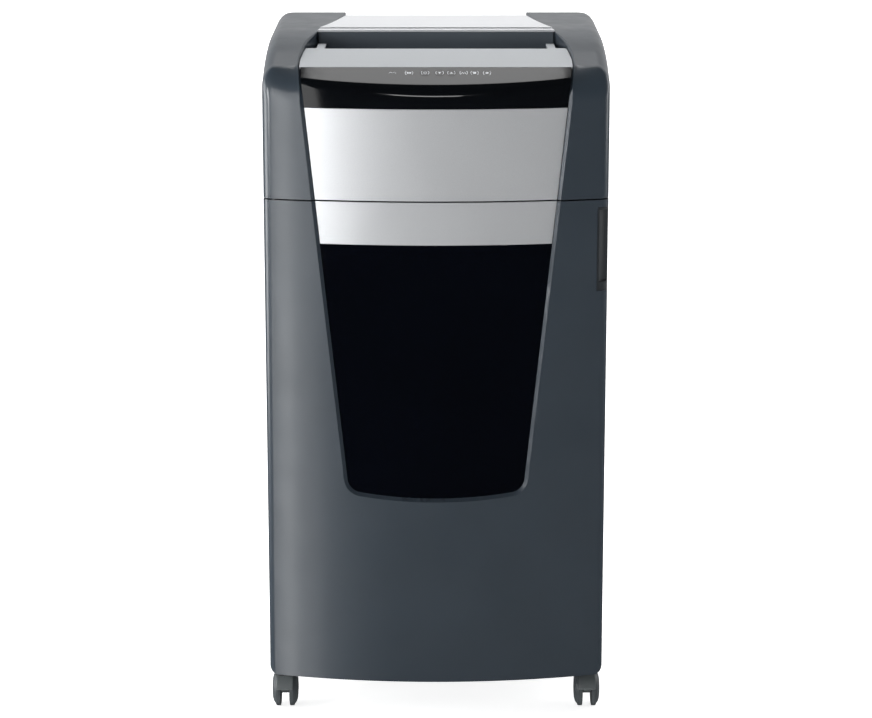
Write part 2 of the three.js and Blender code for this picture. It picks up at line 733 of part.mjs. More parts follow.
// The fixed top cover, undercut at the front so that a shadow gap shows over the trim.
function rearCover() {
  const [front, top] = COVER_FRONT;
  const undercut = box(-HALF, HALF, front, front + COVER_RECESS, THROAT_FLOOR, top - COVER_LIP);
  return sheet([[front + GAP, top], COVER_REAR], 1).subtract(undercut);
}

const SENSOR_HALF = 9;
const SENSOR_Z = [944, 958];

function buildThroat() {
  add("throat_front_guide", throatFrontGuide(), darkPlastic);
  add("throat_rear_wall", throatRearWall(), darkPlastic);
  const trim = [[THROAT_REAR_Y, TRIM_FRONT_Z + WALL], [TRIM_REAR[0] - GAP, TRIM_REAR[1]]];
  add("throat_rear_trim", sheet(trim, 1), paleSilver);
  add("rear_cover", rearCover(), paleSilver);
  const sensorFront = THROAT_REAR_Y + WALL + GAP;
  add("paper_sensor", box(-SENSOR_HALF, SENSOR_HALF, sensorFront, 4, ...SENSOR_Z), darkPlastic);
}

const INLET_X = -150;
const INLET_Z = 812;
const INLET_HALF = [14.5, 10.5];
const ROCKER_X = -100;
const ROCKER_HALF = [6.5, 10.5];
const ROCKER_PIVOT_Y = REAR - 7.5;
const ROCKER_TILT = THREE.MathUtils.degToRad(8);
const VENT_XS = steps(-20, 170, 9);
const VENT_Z = 825;
const VENT_HALF = 4;
const VENT_HALF_HEIGHT = 25;

// A rectangular block about a point of the rear face, given its half width and half height.
function rearBlock(x, z, halfX, halfZ, front, back) {
  return box(x - halfX, x + halfX, front, back, z - halfZ, z + halfZ);
}

function backCover() {
  const half = REAR_PANEL_HALF;
  const inside = REAR - REAR_SHEET - 1;
  const [rx, rz] = ROCKER_HALF;
  const cover = box(-half, half, REAR - REAR_SHEET, REAR, HEAD_BOTTOM, BACK_COVER_TOP);
  const holes = [
    ...VENT_XS.map((x) => rearBlock(x, VENT_Z, VENT_HALF, VENT_HALF_HEIGHT, inside, REAR + 1)),
    rearBlock(INLET_X, INLET_Z, INLET_HALF[0] + 0.5, INLET_HALF[1] + 0.5, inside, REAR + 1),
    rearBlock(ROCKER_X, INLET_Z, rx + 1, rz + 1, inside, REAR + 1),
  ];
  return holes.reduce((solid, hole) => solid.subtract(hole), cover);
}

function powerInlet() {
  const [hx, hz] = INLET_HALF;
  const body = rearBlock(INLET_X, INLET_Z, hx, hz, REAR - 26, REAR - 0.5);
  const socket = rearBlock(INLET_X, INLET_Z, hx - 2.5, hz - 2.5, REAR - 20, REAR + 1);
  const blade = (x, z) => rearBlock(x, z, 1, 2, REAR - 21, REAR - 5);
  return body.subtract(socket)
    .add(blade(INLET_X - 7, INLET_Z - 2))
    .add(blade(INLET_X + 7, INLET_Z - 2))
    .add(blade(INLET_X, INLET_Z + 3));
}

// A rocker with two faces meeting at a shallow angle, tilting about a pin across its middle.
function mainsRocker() {
  const [rx, rz] = ROCKER_HALF;
  const profile = [[-3, -rz + 2], [6, -rz], [4.2, 0], [6, rz], [-3, rz - 2]];
  return prism(profile, "x", -rx, rx);
}

const PLATE_BOTTOM = HEAD_BOTTOM + 3;
const BOARD_X = [-90, 100];
const BOARD_Y = [-166, -110];
const BOARD_Z = [922, 924];

// The steel floor of the head, drilled for the upper hinge pin.
function headPlate() {
  const side = HALF - SKIN - WALL;
  const nose = [[-side, HINGE_Y + 2], [HINGE_X - 6, HINGE_Y - 3], [HINGE_X - 2, HINGE_Y - 8]];
  const rear = casePlan(SKIN + WALL);
  const plan = [
    ...nose,
    ...nose.map(([x, y]) => [-x, y]).reverse(),
    ...rear,
    ...rear.map(([x, y]) => [-x, y]).reverse(),
  ];
  return prism(plan, "z", HEAD_BOTTOM + GAP, PLATE_BOTTOM - GAP)
    .subtract(chuteHole())
    .subtract(rod(HINGE_PIN + GAP, "z", SEAM, PLATE_BOTTOM, HINGE_X, HINGE_Y, 12));
}

function buildHead() {
  const right = rightShoulder();
  add("right_shoulder", right, charcoal);
  add("left_shoulder", right.mirror([1, 0, 0]), charcoal);
  add("head_front_fascia", headFascia(), silver);
  add("control_panel", controlPanel(), gloss);
  for (const [name, x] of Object.entries(KEYS)) {
    add(name, slopeRod(KEY_RADIUS, -WALL - KEY_TRAVEL_ROOM, KEY_RISE, x), gloss);
  }
  add("front_deck", frontDeck(), silver);
  buildThroat();
  add("head_back_cover", backCover(), charcoal);
  add("power_inlet", powerInlet(), darkPlastic);
  const rocker = add("mains_rocker", mainsRocker(), darkPlastic);
  rocker.position.set(ROCKER_X, ROCKER_PIVOT_Y, INLET_Z);
  rocker.rotation.x = -ROCKER_TILT;
  add("head_chassis_plate", headPlate(), steel);
  add("control_board", box(...BOARD_X, ...BOARD_Y, ...BOARD_Z), board);
}

// ---------------------------------------------------------------- mechanism
const CUTTER_REAR_Y = CUTTER_FRONT_Y + CUTTER_SPACING;
const IDLER_Y = CUTTER_REAR_Y + GEAR_MODULE * GEAR_TEETH;
const IDLER_BORE = 5;
const PINION_BORE = 3;
const GEAR_END = GEAR_X - GEAR_WIDTH / 2 - 2;
const ADDENDUM = 0.85; // in modules
const DEDENDUM = 1.2;
const SIDE_PLATE_Y = [CHUTE_FRONT - 8, 70];
const SIDE_PLATE_TOP = 900;
const TIE_ROD = 5;
const TIE_ROD_Z = 885;
const TIE_ROD_YS = [-112, 22];
const COMB_Z = [CUTTER_Z - 22, CUTTER_Z - 12];
const COMB_BAR = 4;
const MOTOR_RADIUS = 44;
const MOTOR_LENGTH = 150;

function gear(teeth, width, bore) {
  const pitch = (GEAR_MODULE * teeth) / 2;
  const points = [];
  for (let i = 0; i < teeth; i++) {
    const step = 360 / teeth;
    const tooth = [
      [pitch - DEDENDUM * GEAR_MODULE, -0.3],
      [pitch + ADDENDUM * GEAR_MODULE, -0.1],
      [pitch + ADDENDUM * GEAR_MODULE, 0.1],
      [pitch - DEDENDUM * GEAR_MODULE, 0.3],
    ];
    for (const [radius, shift] of tooth) {
      const angle = THREE.MathUtils.degToRad((i + shift) * step);
      points.push([radius * Math.cos(angle), radius * Math.sin(angle)]);
    }
  }
  return prism(points, "x", -width / 2, width / 2).subtract(
    rod(bore, "x", -width, width, 0, 0, 12),
  );
}

// A shaft carrying cutting discs, turned as one stepped profile about the x axis.
function cutterShaft(firstDisc) {
  const end = SIDE_PLATE_X + SIDE_PLATE + 3;
  const gearEnd = GEAR_X - GEAR_WIDTH / 2 - 3;
  const profile = [[0, gearEnd], [JOURNAL_RADIUS, gearEnd], [JOURNAL_RADIUS, -SIDE_PLATE_X + 1]];
  profile.push([SPACER_RADIUS, -SIDE_PLATE_X + 1]);
  for (let i = 0; i < DISC_COUNT; i++) {
    const x = firstDisc + i * DISC_PITCH;
    profile.push([SPACER_RADIUS, x], [DISC_RADIUS, x]);
    profile.push([DISC_RADIUS, x + DISC_WIDTH], [SPACER_RADIUS, x + DISC_WIDTH]);
  }
  profile.push([SPACER_RADIUS, SIDE_PLATE_X - 1], [JOURNAL_RADIUS, SIDE_PLATE_X - 1]);
  profile.push([JOURNAL_RADIUS, end], [0, end]);
  return turned(profile, 10);
}

function cutterSidePlate(x0, hasStud) {
  const x1 = x0 + SIDE_PLATE;
  const hole = (radius, y, z, sides) => rod(radius, "x", x0 - 1, x1 + 1, y, z, sides);
  const holes = [
    hole(JOURNAL_RADIUS + GAP, CUTTER_FRONT_Y, CUTTER_Z, 16),
    hole(JOURNAL_RADIUS + GAP, CUTTER_REAR_Y, CUTTER_Z, 16),
    ...TIE_ROD_YS.map((y) => hole(TIE_ROD + GAP, y, TIE_ROD_Z, 10)),
  ];
  if (hasStud) holes.push(hole(IDLER_BORE + 1, IDLER_Y, CUTTER_Z, 12));
  const plate = box(x0, x1, ...SIDE_PLATE_Y, PLATE_BOTTOM, SIDE_PLATE_TOP);
  return holes.reduce((solid, tool) => solid.subtract(tool), plate);
}

// A bar with fingers that reach between the discs of one shaft.
function stripperComb(side, firstDisc) {
  const shaftY = side < 0 ? CUTTER_FRONT_Y : CUTTER_REAR_Y;
  const near = shaftY + side * (DISC_RADIUS + 2);
  const far = near + side * COMB_BAR;
  const tip = shaftY + side * (SPACER_RADIUS - 1);
  const half = SIDE_PLATE_X - 1;
  let comb = box(-half, half, Math.min(near, far), Math.max(near, far), ...COMB_Z);
  for (let i = 0; i + 1 < DISC_COUNT; i++) {
    const x = firstDisc + i * DISC_PITCH + DISC_WIDTH;
    const room = DISC_PITCH - DISC_WIDTH;
    const finger = box(x + 3, x + room - 3, Math.min(tip, far), Math.max(tip, far), ...COMB_Z);
    comb = comb.add(finger);
  }
  return comb;
}

function buildMechanism() {
  const firstFront = -(DISC_COUNT * DISC_PITCH) / 2 + 0.8;
  const firstRear = firstFront + DISC_PITCH / 2;
  add("cutter_side_plate_left", cutterSidePlate(-SIDE_PLATE_X - SIDE_PLATE, true), steel);
  add("cutter_side_plate_right", cutterSidePlate(SIDE_PLATE_X, false), steel);
  ["front_tie_rod", "rear_tie_rod"].forEach((name, i) => {
    const half = SIDE_PLATE_X + SIDE_PLATE + 2;
    add(name, rod(TIE_ROD, "x", -half, half, TIE_ROD_YS[i], TIE_ROD_Z, 10), steel);
  });
  add("front_stripper_comb", stripperComb(-1, firstFront), darkPlastic);
  add("rear_stripper_comb", stripperComb(1, firstRear), darkPlastic);
  add("front_cutter_shaft", cutterShaft(firstFront), steel)
    .position.set(0, CUTTER_FRONT_Y, CUTTER_Z);
  add("rear_cutter_shaft", cutterShaft(firstRear), steel)
    .position.set(0, CUTTER_REAR_Y, CUTTER_Z);
  const bore = JOURNAL_RADIUS + GAP;
  add("front_cutter_gear", gear(GEAR_TEETH, GEAR_WIDTH, bore), steel)
    .position.set(GEAR_X, CUTTER_FRONT_Y, CUTTER_Z);
  const halfTooth = Math.PI / GEAR_TEETH;
  const rearGear = add("rear_cutter_gear", gear(GEAR_TEETH, GEAR_WIDTH, bore), steel);
  rearGear.position.set(GEAR_X, CUTTER_REAR_Y, CUTTER_Z);
  rearGear.rotation.x = halfTooth;
  const idler = add("idler_gear", gear(GEAR_TEETH, GEAR_WIDTH, IDLER_BORE), steel);
  idler.position.set(GEAR_X, IDLER_Y, CUTTER_Z);
  const studEnd = -SIDE_PLATE_X + 2;
  const stud = rod(IDLER_BORE - GAP, "x", GEAR_END, studEnd, IDLER_Y, CUTTER_Z, 12);
  add("idler_stud", stud, steel);
  const pinionY = IDLER_Y + (GEAR_MODULE * (GEAR_TEETH + PINION_TEETH)) / 2;
  const pinion = add("motor_pinion", gear(PINION_TEETH, GEAR_WIDTH, PINION_BORE), steel);
  pinion.position.set(GEAR_X, pinionY, CUTTER_Z);
  pinion.rotation.x = Math.PI / PINION_TEETH;
  add("drive_motor", driveMotor(pinionY), steel);
}

function driveMotor(shaftY) {
  const left = -SIDE_PLATE_X + 20;
  const body = rod(MOTOR_RADIUS, "x", left, left + MOTOR_LENGTH, shaftY, CUTTER_Z, 20);
  const shaft = rod(PINION_BORE - GAP / 2, "x", GEAR_END, left + 2, shaftY, CUTTER_Z, 10);
  const foot = box(left + 20, left + 130, shaftY - 40, shaftY + 40, PLATE_BOTTOM, PLATE_BOTTOM + 5);
  const saddle = box(left + 30, left + 120, shaftY - 20, shaftY + 20, PLATE_BOTTOM + 4, CUTTER_Z - 30);
  return body.add(shaft).add(foot).add(saddle);
}

// ---------------------------------------------------------------- castors
const COLLAR_RADIUS = 8;
const AXLE_RADIUS = 3;
const HUB_BORE = 3.4;
const HOOD_HALF = 12;
const HOOD_END = 168; // degrees round the axle, to the lip in front of the treads

function castorHousing() {
  const axleZ = WHEEL_RADIUS;
  const half = WHEEL_INNER - 0.6;
  const hood = [
    ...arc(CASTOR_TRAIL, axleZ, WHEEL_RADIUS + 3.5, 15, HOOD_END, 11),
    ...arc(CASTOR_TRAIL, axleZ, WHEEL_RADIUS + 1, HOOD_END, 15, 11),
  ];
  const web = [
    ...arc(CASTOR_TRAIL, axleZ, WHEEL_RADIUS + 2, 25, 165, 8),
    [CASTOR_TRAIL - WHEEL_RADIUS, axleZ - 4],
    [CASTOR_TRAIL + 8, axleZ - 6],
  ];
  const stem = rod(STEM_RADIUS, "z", axleZ + 20, BASE_TOP - 4, 0, 0, 12);
  const collar = rod(COLLAR_RADIUS, "z", 2 * WHEEL_RADIUS + 0.6, BASE_BOTTOM - 1, 0, 0, 12);
  const axleHalf = WHEEL_OUTER - 3;
  const axle = rod(AXLE_RADIUS, "x", -axleHalf, axleHalf, CASTOR_TRAIL, axleZ, 12);
  return prism(hood, "x", -HOOD_HALF, HOOD_HALF)
    .add(prism(web, "x", -half, half))
    .add(collar)
    .add(stem)
    .add(axle);
}

// A domed wheel with its tread at the outer edge; side is +1 or -1 along x.
function castorWheel(side) {
  const profile = [
    [HUB_BORE, WHEEL_INNER],
    [WHEEL_RADIUS - 1, WHEEL_INNER],
    [WHEEL_RADIUS, WHEEL_INNER + 1],
    [WHEEL_RADIUS, WHEEL_INNER + 6],
    [WHEEL_RADIUS - 6, WHEEL_OUTER - 2],
    [WHEEL_RADIUS - 14, WHEEL_OUTER],
    [HUB_BORE, WHEEL_OUTER],
  ];
  return turned(profile.map(([r, x]) => [r, side * x]), 20);
}

function buildCastors() {
  const housing = castorHousing();
  for (const [spot, x, y] of CASTOR_SPOTS) {
    const castor = new THREE.Group();
    castor.position.set(x, y, 0);
    add("castor_" + spot + "_housing", housing, charcoal, castor);
    for (const [label, side] of [["left", -1], ["right", 1]]) {
      add("castor_" + spot + "_wheel_" + label, castorWheel(side), tyre, castor)
        .position.set(0, CASTOR_TRAIL, WHEEL_RADIUS);
    }
    model.add(castor);
  }
}

buildCabinet();
buildDoor();
add("shred_bin", shredBin(), darkPlastic);
buildHead();
buildMechanism();
buildCastors();

export default model;
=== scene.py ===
import math

import bmesh
import bpy
from mathutils import Matrix, Vector


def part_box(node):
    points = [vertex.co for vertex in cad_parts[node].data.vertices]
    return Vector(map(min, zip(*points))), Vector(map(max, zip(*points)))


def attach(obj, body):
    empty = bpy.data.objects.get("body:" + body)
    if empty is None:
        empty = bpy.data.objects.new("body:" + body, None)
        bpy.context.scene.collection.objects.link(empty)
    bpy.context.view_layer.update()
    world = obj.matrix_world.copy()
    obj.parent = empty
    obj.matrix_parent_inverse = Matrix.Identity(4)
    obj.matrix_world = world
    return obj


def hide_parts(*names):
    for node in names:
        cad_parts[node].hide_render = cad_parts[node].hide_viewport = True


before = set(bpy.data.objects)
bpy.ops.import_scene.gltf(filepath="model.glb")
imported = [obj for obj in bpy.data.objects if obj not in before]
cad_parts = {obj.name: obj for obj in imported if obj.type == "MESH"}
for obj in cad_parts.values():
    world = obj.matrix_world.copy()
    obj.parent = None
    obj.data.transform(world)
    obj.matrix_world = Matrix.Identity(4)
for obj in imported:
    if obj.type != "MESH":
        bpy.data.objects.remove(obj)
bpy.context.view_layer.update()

# ------------------------------------------------------------------ sizes, from the CAD parts
MM = 0.001


def lo(node):
    return Vector(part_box(node)[0])


def hi(node):
    return Vector(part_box(node)[1])


HALF = hi("right_side_panel").x
FRONT = lo("door_panel").y
REAR = hi("rear_panel").y
DOOR_BOTTOM = lo("door_panel").z
DOOR_TOP = hi("door_panel").z
DOOR_BACK = hi("door_panel").y
HEAD_BOTTOM = lo("right_shoulder").z
HEAD_TOP = hi("right_shoulder").z
FASCIA_TOP = lo("control_panel").z
WINDOW_BOTTOM = lo("door_window").z + 6 * MM
STRIP_BOTTOM = lo("door_silver_strip").z
COVER_TOP = hi("head_back_cover").z
GAP = 0.4 * MM
CORE = 0.05 * MM  # innermost radius of a turned piece

BOW_RADIUS = 0.844  # plan radius of the bowed front
SKIN = 5 * MM  # thick front mouldings
REVEAL = 4.7 * MM  # width and depth of the chamfer round the centre field
FIELD_HALF_TOP = 0.1815
FIELD_TAPER = 0.1075
FIELD_ARCH = 0.768
FIELD_CORNER = 21 * MM
FIELD_TILT = math.atan(FIELD_TAPER)
REAR_CORNER = 25 * MM
BAND_KNEE_Z = FASCIA_TOP + 28.2 * MM
KEYS = {"standby_key": -15, "reverse_key": 5, "forward_key": 21}
KEY_RADIUS = 6.4 * MM
KEY_REACH = 12.4 * MM  # from the deck's edge down the slope
BAND_REAR_Y = hi("control_panel").y
BAND_REAR_Z = hi("control_panel").z


def bow(x):
    return BOW_RADIUS - math.sqrt(BOW_RADIUS**2 - x**2)


def field_half(z):
    return FIELD_HALF_TOP - FIELD_TAPER * (FASCIA_TOP - z)


def mix(a, b, t):
    return a + (b - a) * t


def smooth(t):
    t = min(max(t, 0.0), 1.0)
    return t * t * (3 - 2 * t)


def spread(a, b, count):
    return [mix(a, b, i / count) for i in range(count + 1)]


# ------------------------------------------------------------------ materials
def node_of(tree, kind, **inputs):
    made = tree.nodes.new(kind)
    for key, value in inputs.items():
        made.inputs[key.replace("_", " ")].default_value = value
    return made


def shader(name, color, roughness, metallic=0.0, coat=0.0, specular=0.5):
    made = bpy.data.materials.new(name)
    made.use_nodes = True
    tree = made.node_tree
    surface = tree.nodes["Principled BSDF"]
    surface.inputs["Base Color"].default_value = (*color, 1)
    surface.inputs["Roughness"].default_value = roughness
    surface.inputs["Metallic"].default_value = metallic
    surface.inputs["Coat Weight"].default_value = coat
    surface.inputs["Coat Roughness"].default_value = 0.03
    surface.inputs["Specular IOR Level"].default_value = specular
    return made, tree, surface


def noise(tree, scale, detail=2.0, stretch=(1, 1, 1)):
    place = tree.nodes.new("ShaderNodeTexCoord")
    turn = tree.nodes.new("ShaderNodeMapping")
    turn.inputs["Scale"].default_value = stretch
    made = node_of(tree, "ShaderNodeTexNoise", Scale=scale, Detail=detail)
    tree.links.new(place.outputs["Object"], turn.inputs["Vector"])
    tree.links.new(turn.outputs["Vector"], made.inputs["Vector"])
    return made.outputs["Fac"]


def vary_colour(tree, surface, fac, color, amount):
    ramp = tree.nodes.new("ShaderNodeValToRGB")
    ramp.color_ramp.elements[0].position = 0.3
    ramp.color_ramp.elements[1].position = 0.7
    ramp.color_ramp.elements[0].color = (*[c * (1 - amount) for c in color], 1)
    ramp.color_ramp.elements[1].color = (*[c * (1 + amount) for c in color], 1)
    tree.links.new(fac, ramp.inputs["Fac"])
    tree.links.new(ramp.outputs["Color"], surface.inputs["Base Color"])


def vary_roughness(tree, surface, fac, low, high):
    span = tree.nodes.new("ShaderNodeMapRange")
    span.inputs["From Min"].default_value = 0.3
    span.inputs["From Max"].default_value = 0.7
    span.inputs["To Min"].default_value = low
    span.inputs["To Max"].default_value = high
    tree.links.new(fac, span.inputs["Value"])
    tree.links.new(span.outputs["Result"], surface.inputs["Roughness"])


def bump(tree, surface, fac, strength, distance):
    made = node_of(tree, "ShaderNodeBump", Strength=strength, Distance=distance)
    tree.links.new(fac, made.inputs["Height"])
    tree.links.new(made.outputs["Normal"], surface.inputs["Normal"])


def moulded(name, color, roughness, grain=1400.0, depth=0.12, specular=0.5, coat=0.0, coat_rough=0.15):
    """Moulded plastic: a fine spark-eroded grain with slow drifts of tone and gloss."""
    made, tree, surface = shader(name, color, roughness, specular=specular, coat=coat)
    surface.inputs["Coat Roughness"].default_value = coat_rough
    vary_colour(tree, surface, noise(tree, 9.0, 3.0), color, 0.05)
    vary_roughness(tree, surface, noise(tree, 30.0, 4.0), roughness - 0.04, roughness + 0.05)
    bump(tree, surface, noise(tree, grain, 3.0), depth, 0.00012)
    return made


def metallic_paint(name, color, roughness, metallic):
    """Sprayed silver: fine flake in the colour and a faint orange peel."""
    made, tree, surface = shader(name, color, roughness, metallic)
    vary_colour(tree, surface, noise(tree, 2600.0, 2.0), color, 0.06)
    vary_roughness(tree, surface, noise(tree, 14.0, 3.0), roughness - 0.03, roughness + 0.03)
    bump(tree, surface, noise(tree, 700.0, 2.0), 0.05, 0.00006)
    return made


def polished(name, color, roughness, coat=1.0):
    """Piano black or smoked acrylic: a deep gloss with the slightest waviness."""
    made, tree, surface = shader(name, color, roughness, coat=coat)
    vary_colour(tree, surface, noise(tree, 5.0, 2.0), color, 0.15)
    vary_roughness(tree, surface, noise(tree, 60.0, 5.0), roughness * 0.7, roughness * 1.4)
    bump(tree, surface, noise(tree, 24.0, 1.0), 0.02, 0.0002)
    return made


def machined(name, color, roughness, along=(1, 40, 40)):
    """Turned or rolled steel with fine lines along one direction."""
    made, tree, surface = shader(name, color, roughness, 1.0)
    lines = noise(tree, 60.0, 4.0, along)
    vary_colour(tree, surface, lines, color, 0.12)
    vary_roughness(tree, surface, lines, roughness - 0.08, roughness + 0.12)
    bump(tree, surface, lines, 0.08, 0.0001)
    return made


def printed_board(name):
    """Green solder mask with a faint net of tracks."""
    color = (0.012, 0.11, 0.045)
    made, tree, surface = shader(name, color, 0.35)
    place = tree.nodes.new("ShaderNodeTexCoord")
    tracks = node_of(tree, "ShaderNodeTexBrick", Scale=90.0, Mortar_Size=0.03)
    tracks.inputs["Color1"].default_value = (*color, 1)
    tracks.inputs["Color2"].default_value = (0.01, 0.085, 0.035, 1)
    tracks.inputs["Mortar"].default_value = (0.05, 0.2, 0.08, 1)
    tree.links.new(place.outputs["Object"], tracks.inputs["Vector"])
    tree.links.new(tracks.outputs["Color"], surface.inputs["Base Color"])
    bump(tree, surface, tracks.outputs["Fac"], 0.2, 0.0001)
    return made


CHARCOAL = moulded("charcoal_moulding", (0.031, 0.042, 0.055), 0.34, 1400.0, 0.06, coat=0.4)
CASTOR_GREY = moulded("castor_grey", (0.11, 0.122, 0.125), 0.4, 900.0)
BLACK = moulded("black_moulding", (0.022, 0.026, 0.03), 0.5)
THROAT = moulded("throat_grey", (0.1, 0.12, 0.14), 0.45)
LINER = moulded("grey_liner", (0.13, 0.14, 0.15), 0.55, 1000.0, 0.2)
BIN = moulded("bin_black", (0.018, 0.019, 0.021), 0.55, 800.0, 0.2)
SILVER = metallic_paint("silver_paint", (0.76, 0.775, 0.795), 0.36, 0.6)
DECK_SILVER = metallic_paint("deck_silver", (0.45, 0.47, 0.49), 0.42, 0.2)
PALE = metallic_paint("pale_silver", (0.72, 0.73, 0.75), 0.38, 0.15)
GLOSS = polished("piano_black", (0.002, 0.0025, 0.0035), 0.07, 0.0)
WINDOW = polished("smoked_acrylic", (0.0006, 0.001, 0.0025), 0.05, 0.0)
STEEL = machined("machined_steel", (0.46, 0.47, 0.48), 0.32)
MOTOR = machined("motor_can", (0.3, 0.31, 0.32), 0.4, (40, 1, 1))
BOARD = printed_board("circuit_board")
ICON = moulded("icon_white", (0.75, 0.77, 0.8), 0.5, 600.0, 0.05)
TYRE = moulded("wheel_nylon", (0.06, 0.068, 0.073), 0.38, 900.0)


# ------------------------------------------------------------------ mesh tools
def blank(name, vertices, faces):
    mesh = bpy.data.meshes.new(name)
    mesh.from_pydata([tuple(v) for v in vertices], [], faces)
    made = bpy.data.objects.new(name, mesh)
    bpy.context.scene.collection.objects.link(made)
    heal(made)
    return made


def heal(obj):
    """Merges shared points, drops empty faces and turns every face outwards."""
    work = bmesh.new()
    work.from_mesh(obj.data)
    bmesh.ops.remove_doubles(work, verts=work.verts, dist=1e-6)
    bmesh.ops.dissolve_degenerate(work, edges=work.edges, dist=1e-7)
    bmesh.ops.recalc_face_normals(work, faces=work.faces)
    work.to_mesh(obj.data)
    work.free()


def shade(obj, degrees=32):
    for face in obj.data.polygons:
        face.use_smooth = True
    obj.data.set_sharp_from_angle(angle=math.radians(degrees))


def apply_modifiers(obj):
    graph = bpy.context.evaluated_depsgraph_get()
    made = bpy.data.meshes.new_from_object(obj.evaluated_get(graph))
    obj.modifiers.clear()
    obj.data = made


def combine(target, tool, operation):
    step = target.modifiers.new("combine", "BOOLEAN")
    step.object = tool
    step.operation = operation
    step.solver = "EXACT"
    apply_modifiers(target)
    bpy.data.objects.remove(tool)
    return target


def cut(target, tool):
    return combine(target, tool, "DIFFERENCE")


def keep(target, tool):
    return combine(target, tool, "INTERSECT")


def soften(obj, width, segments=2, degrees=32):
    edge = obj.modifiers.new("edges", "BEVEL")
    edge.width = width
    edge.segments = segments
    edge.limit_method = "ANGLE"
    edge.angle_limit = math.radians(degrees)
    edge.use_clamp_overlap = True
    apply_modifiers(obj)
    heal(obj)
    return obj


def place(obj, material, body, slot, replaced=(), degrees=32):
    """Finishes a piece: material, shading, body and the CAD nodes it stands for. The slot argument is not
    used.
    """
    obj.data.materials.clear()
    obj.data.materials.append(material)
    shade(obj, degrees)
    even = obj.modifiers.new("even", "WEIGHTED_NORMAL")
    even.keep_sharp = True
    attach(obj, body)
    if replaced:
        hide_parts(*replaced)
    return obj


def along(axis, a, b, c):
    """A point from its two outline coordinates and its place along the axis."""
    if axis == "x":
        return (c, a, b)
    if axis == "y":
        return (a, c, b)
    return (a, b, c)


def prism(name, outline, axis, start, end):
    count = len(outline)
    points = [along(axis, a, b, start) for a, b in outline]
    points += [along(axis, a, b, end) for a, b in outline]
    faces = [[i, (i + 1) % count, count + (i + 1) % count, count + i] for i in range(count)]
    faces += [list(range(count)), list(range(count, 2 * count))]
    return blank(name, points, faces)


def block(name, low, high):
    outline = [(low[0], low[1]), (high[0], low[1]), (high[0], high[1]), (low[0], high[1])]
    return prism(name, outline, "z", low[2], high[2])


def bar(name, radius, axis, start, end, a, b, sides=48):
    outline = [
        (a + radius * math.cos(2 * math.pi * i / sides), b + radius * math.sin(2 * math.pi * i / sides))
        for i in range(sides)
    ]
    return prism(name, outline, axis, start, end)


def lathe(name, profile, centre, sides=64, axis="x"):
    """Spins a closed profile of (radius, along) points about an axis through centre."""
    points = []
    for radius, reach in profile:
        for i in range(sides):
            angle = 2 * math.pi * i / sides
            spot = along(axis, radius * math.cos(angle), radius * math.sin(angle), reach)
            points.append(Vector(centre) + Vector(spot))
    rings = len(profile)
    faces = []
    for r in range(rings):
        s = (r + 1) % rings
        for i in range(sides):
            j = (i + 1) % sides
            faces.append([r * sides + i, r * sides + j, s * sides + j, s * sides + i])
    return blank(name, points, faces)


def sheet_faces(rows, columns, close=False):
    """Quads of a grid whose points run row by row."""
    faces = []
    for r in range(rows - 1):
        for c in range(columns - 1 + close):
            d = (c + 1) % columns
            faces.append([r * columns + c, r * columns + d, (r + 1) * columns + d, (r + 1) * columns + c])
    return faces


def arc(cx, cy, radius, start, end, count):
    return [
        (cx + radius * math.cos(math.radians(a)), cy + radius * math.sin(math.radians(a)))
        for a in spread(start, end, count)
    ]


def join(name, pieces):
    """One object from several, each kept as its own shell."""
    vertices, faces = [], []
    for piece in pieces:
        base = len(vertices)
        vertices += [v.co.copy() for v in piece.data.vertices]
        faces += [[base + i for i in face.vertices] for face in piece.data.polygons]
        bpy.data.objects.remove(piece)
    mesh = bpy.data.meshes.new(name)
    mesh.from_pydata(vertices, [], faces)
    made = bpy.data.objects.new(name, mesh)
    bpy.context.scene.collection.objects.link(made)
    return made


# ------------------------------------------------------------------ the bowed front
ACROSS = 56  # columns over the width of the bow


def field_corner():
    """Centre of the window's lower corner, tangent to the sloping side and to the arched edge."""
    x = field_half(WINDOW_BOTTOM) - FIELD_CORNER
    for _ in range(6):
        z = WINDOW_BOTTOM + FIELD_ARCH - math.sqrt((FIELD_ARCH - FIELD_CORNER) ** 2 - x**2)
        x = field_half(z) - FIELD_CORNER / math.cos(FIELD_TILT)
    return x, z


def field_rows(bottom, top, grow, arched, count=14):
    """(half width, height) from the top of a field panel to its lowest row."""
    if not arched:
        return [(field_half(z) + grow, z) for z in spread(top, bottom, count)]
    x, z = field_corner()
    arch_z = WINDOW_BOTTOM + FIELD_ARCH
    radius = FIELD_CORNER + grow
    meet = math.degrees(math.atan2(z - arch_z, x))
    turn = arc(x, z, radius, -math.degrees(FIELD_TILT), meet, 12)
    rows = [(mix(field_half(top) + grow / math.cos(FIELD_TILT), turn[0][0], t), mix(top, turn[0][1], t))
            for t in spread(0, 1, count)[:-1]]
    return rows + turn + arc(0, arch_z, FIELD_ARCH + grow, meet, -90, 10)[1:]


def field_layer(rows, depth):
    return [
        (half * (2 * k / ACROSS - 1), FRONT + depth + bow(half * (2 * k / ACROSS - 1)), z)
        for half, z in rows
        for k in range(ACROSS + 1)
    ]


def field_block(name, layers):
    """A closed bowed slab from (rows, depth) layers, front to back; all have the same row count."""
    columns = ACROSS + 1
    count = len(layers[0][0])
    size = columns * count
    points = []
    for rows, depth in layers:
        points += field_layer(rows, depth)
    last = (len(layers) - 1) * size
    faces = sheet_faces(count, columns)
    faces += [[last + i for i in face] for face in sheet_faces(count, columns)]
    for level in range(len(layers) - 1):
        for r in range(count - 1):
            for c in (0, columns - 1):
                a = level * size + r * columns + c
                faces.append([a, a + columns, a + columns + size, a + size])
        for r in (0, count - 1):
            for c in range(columns - 1):
                a = level * size + r * columns + c
                faces.append([a, a + 1, a + 1 + size, a + size])
    return blank(name, points, faces)


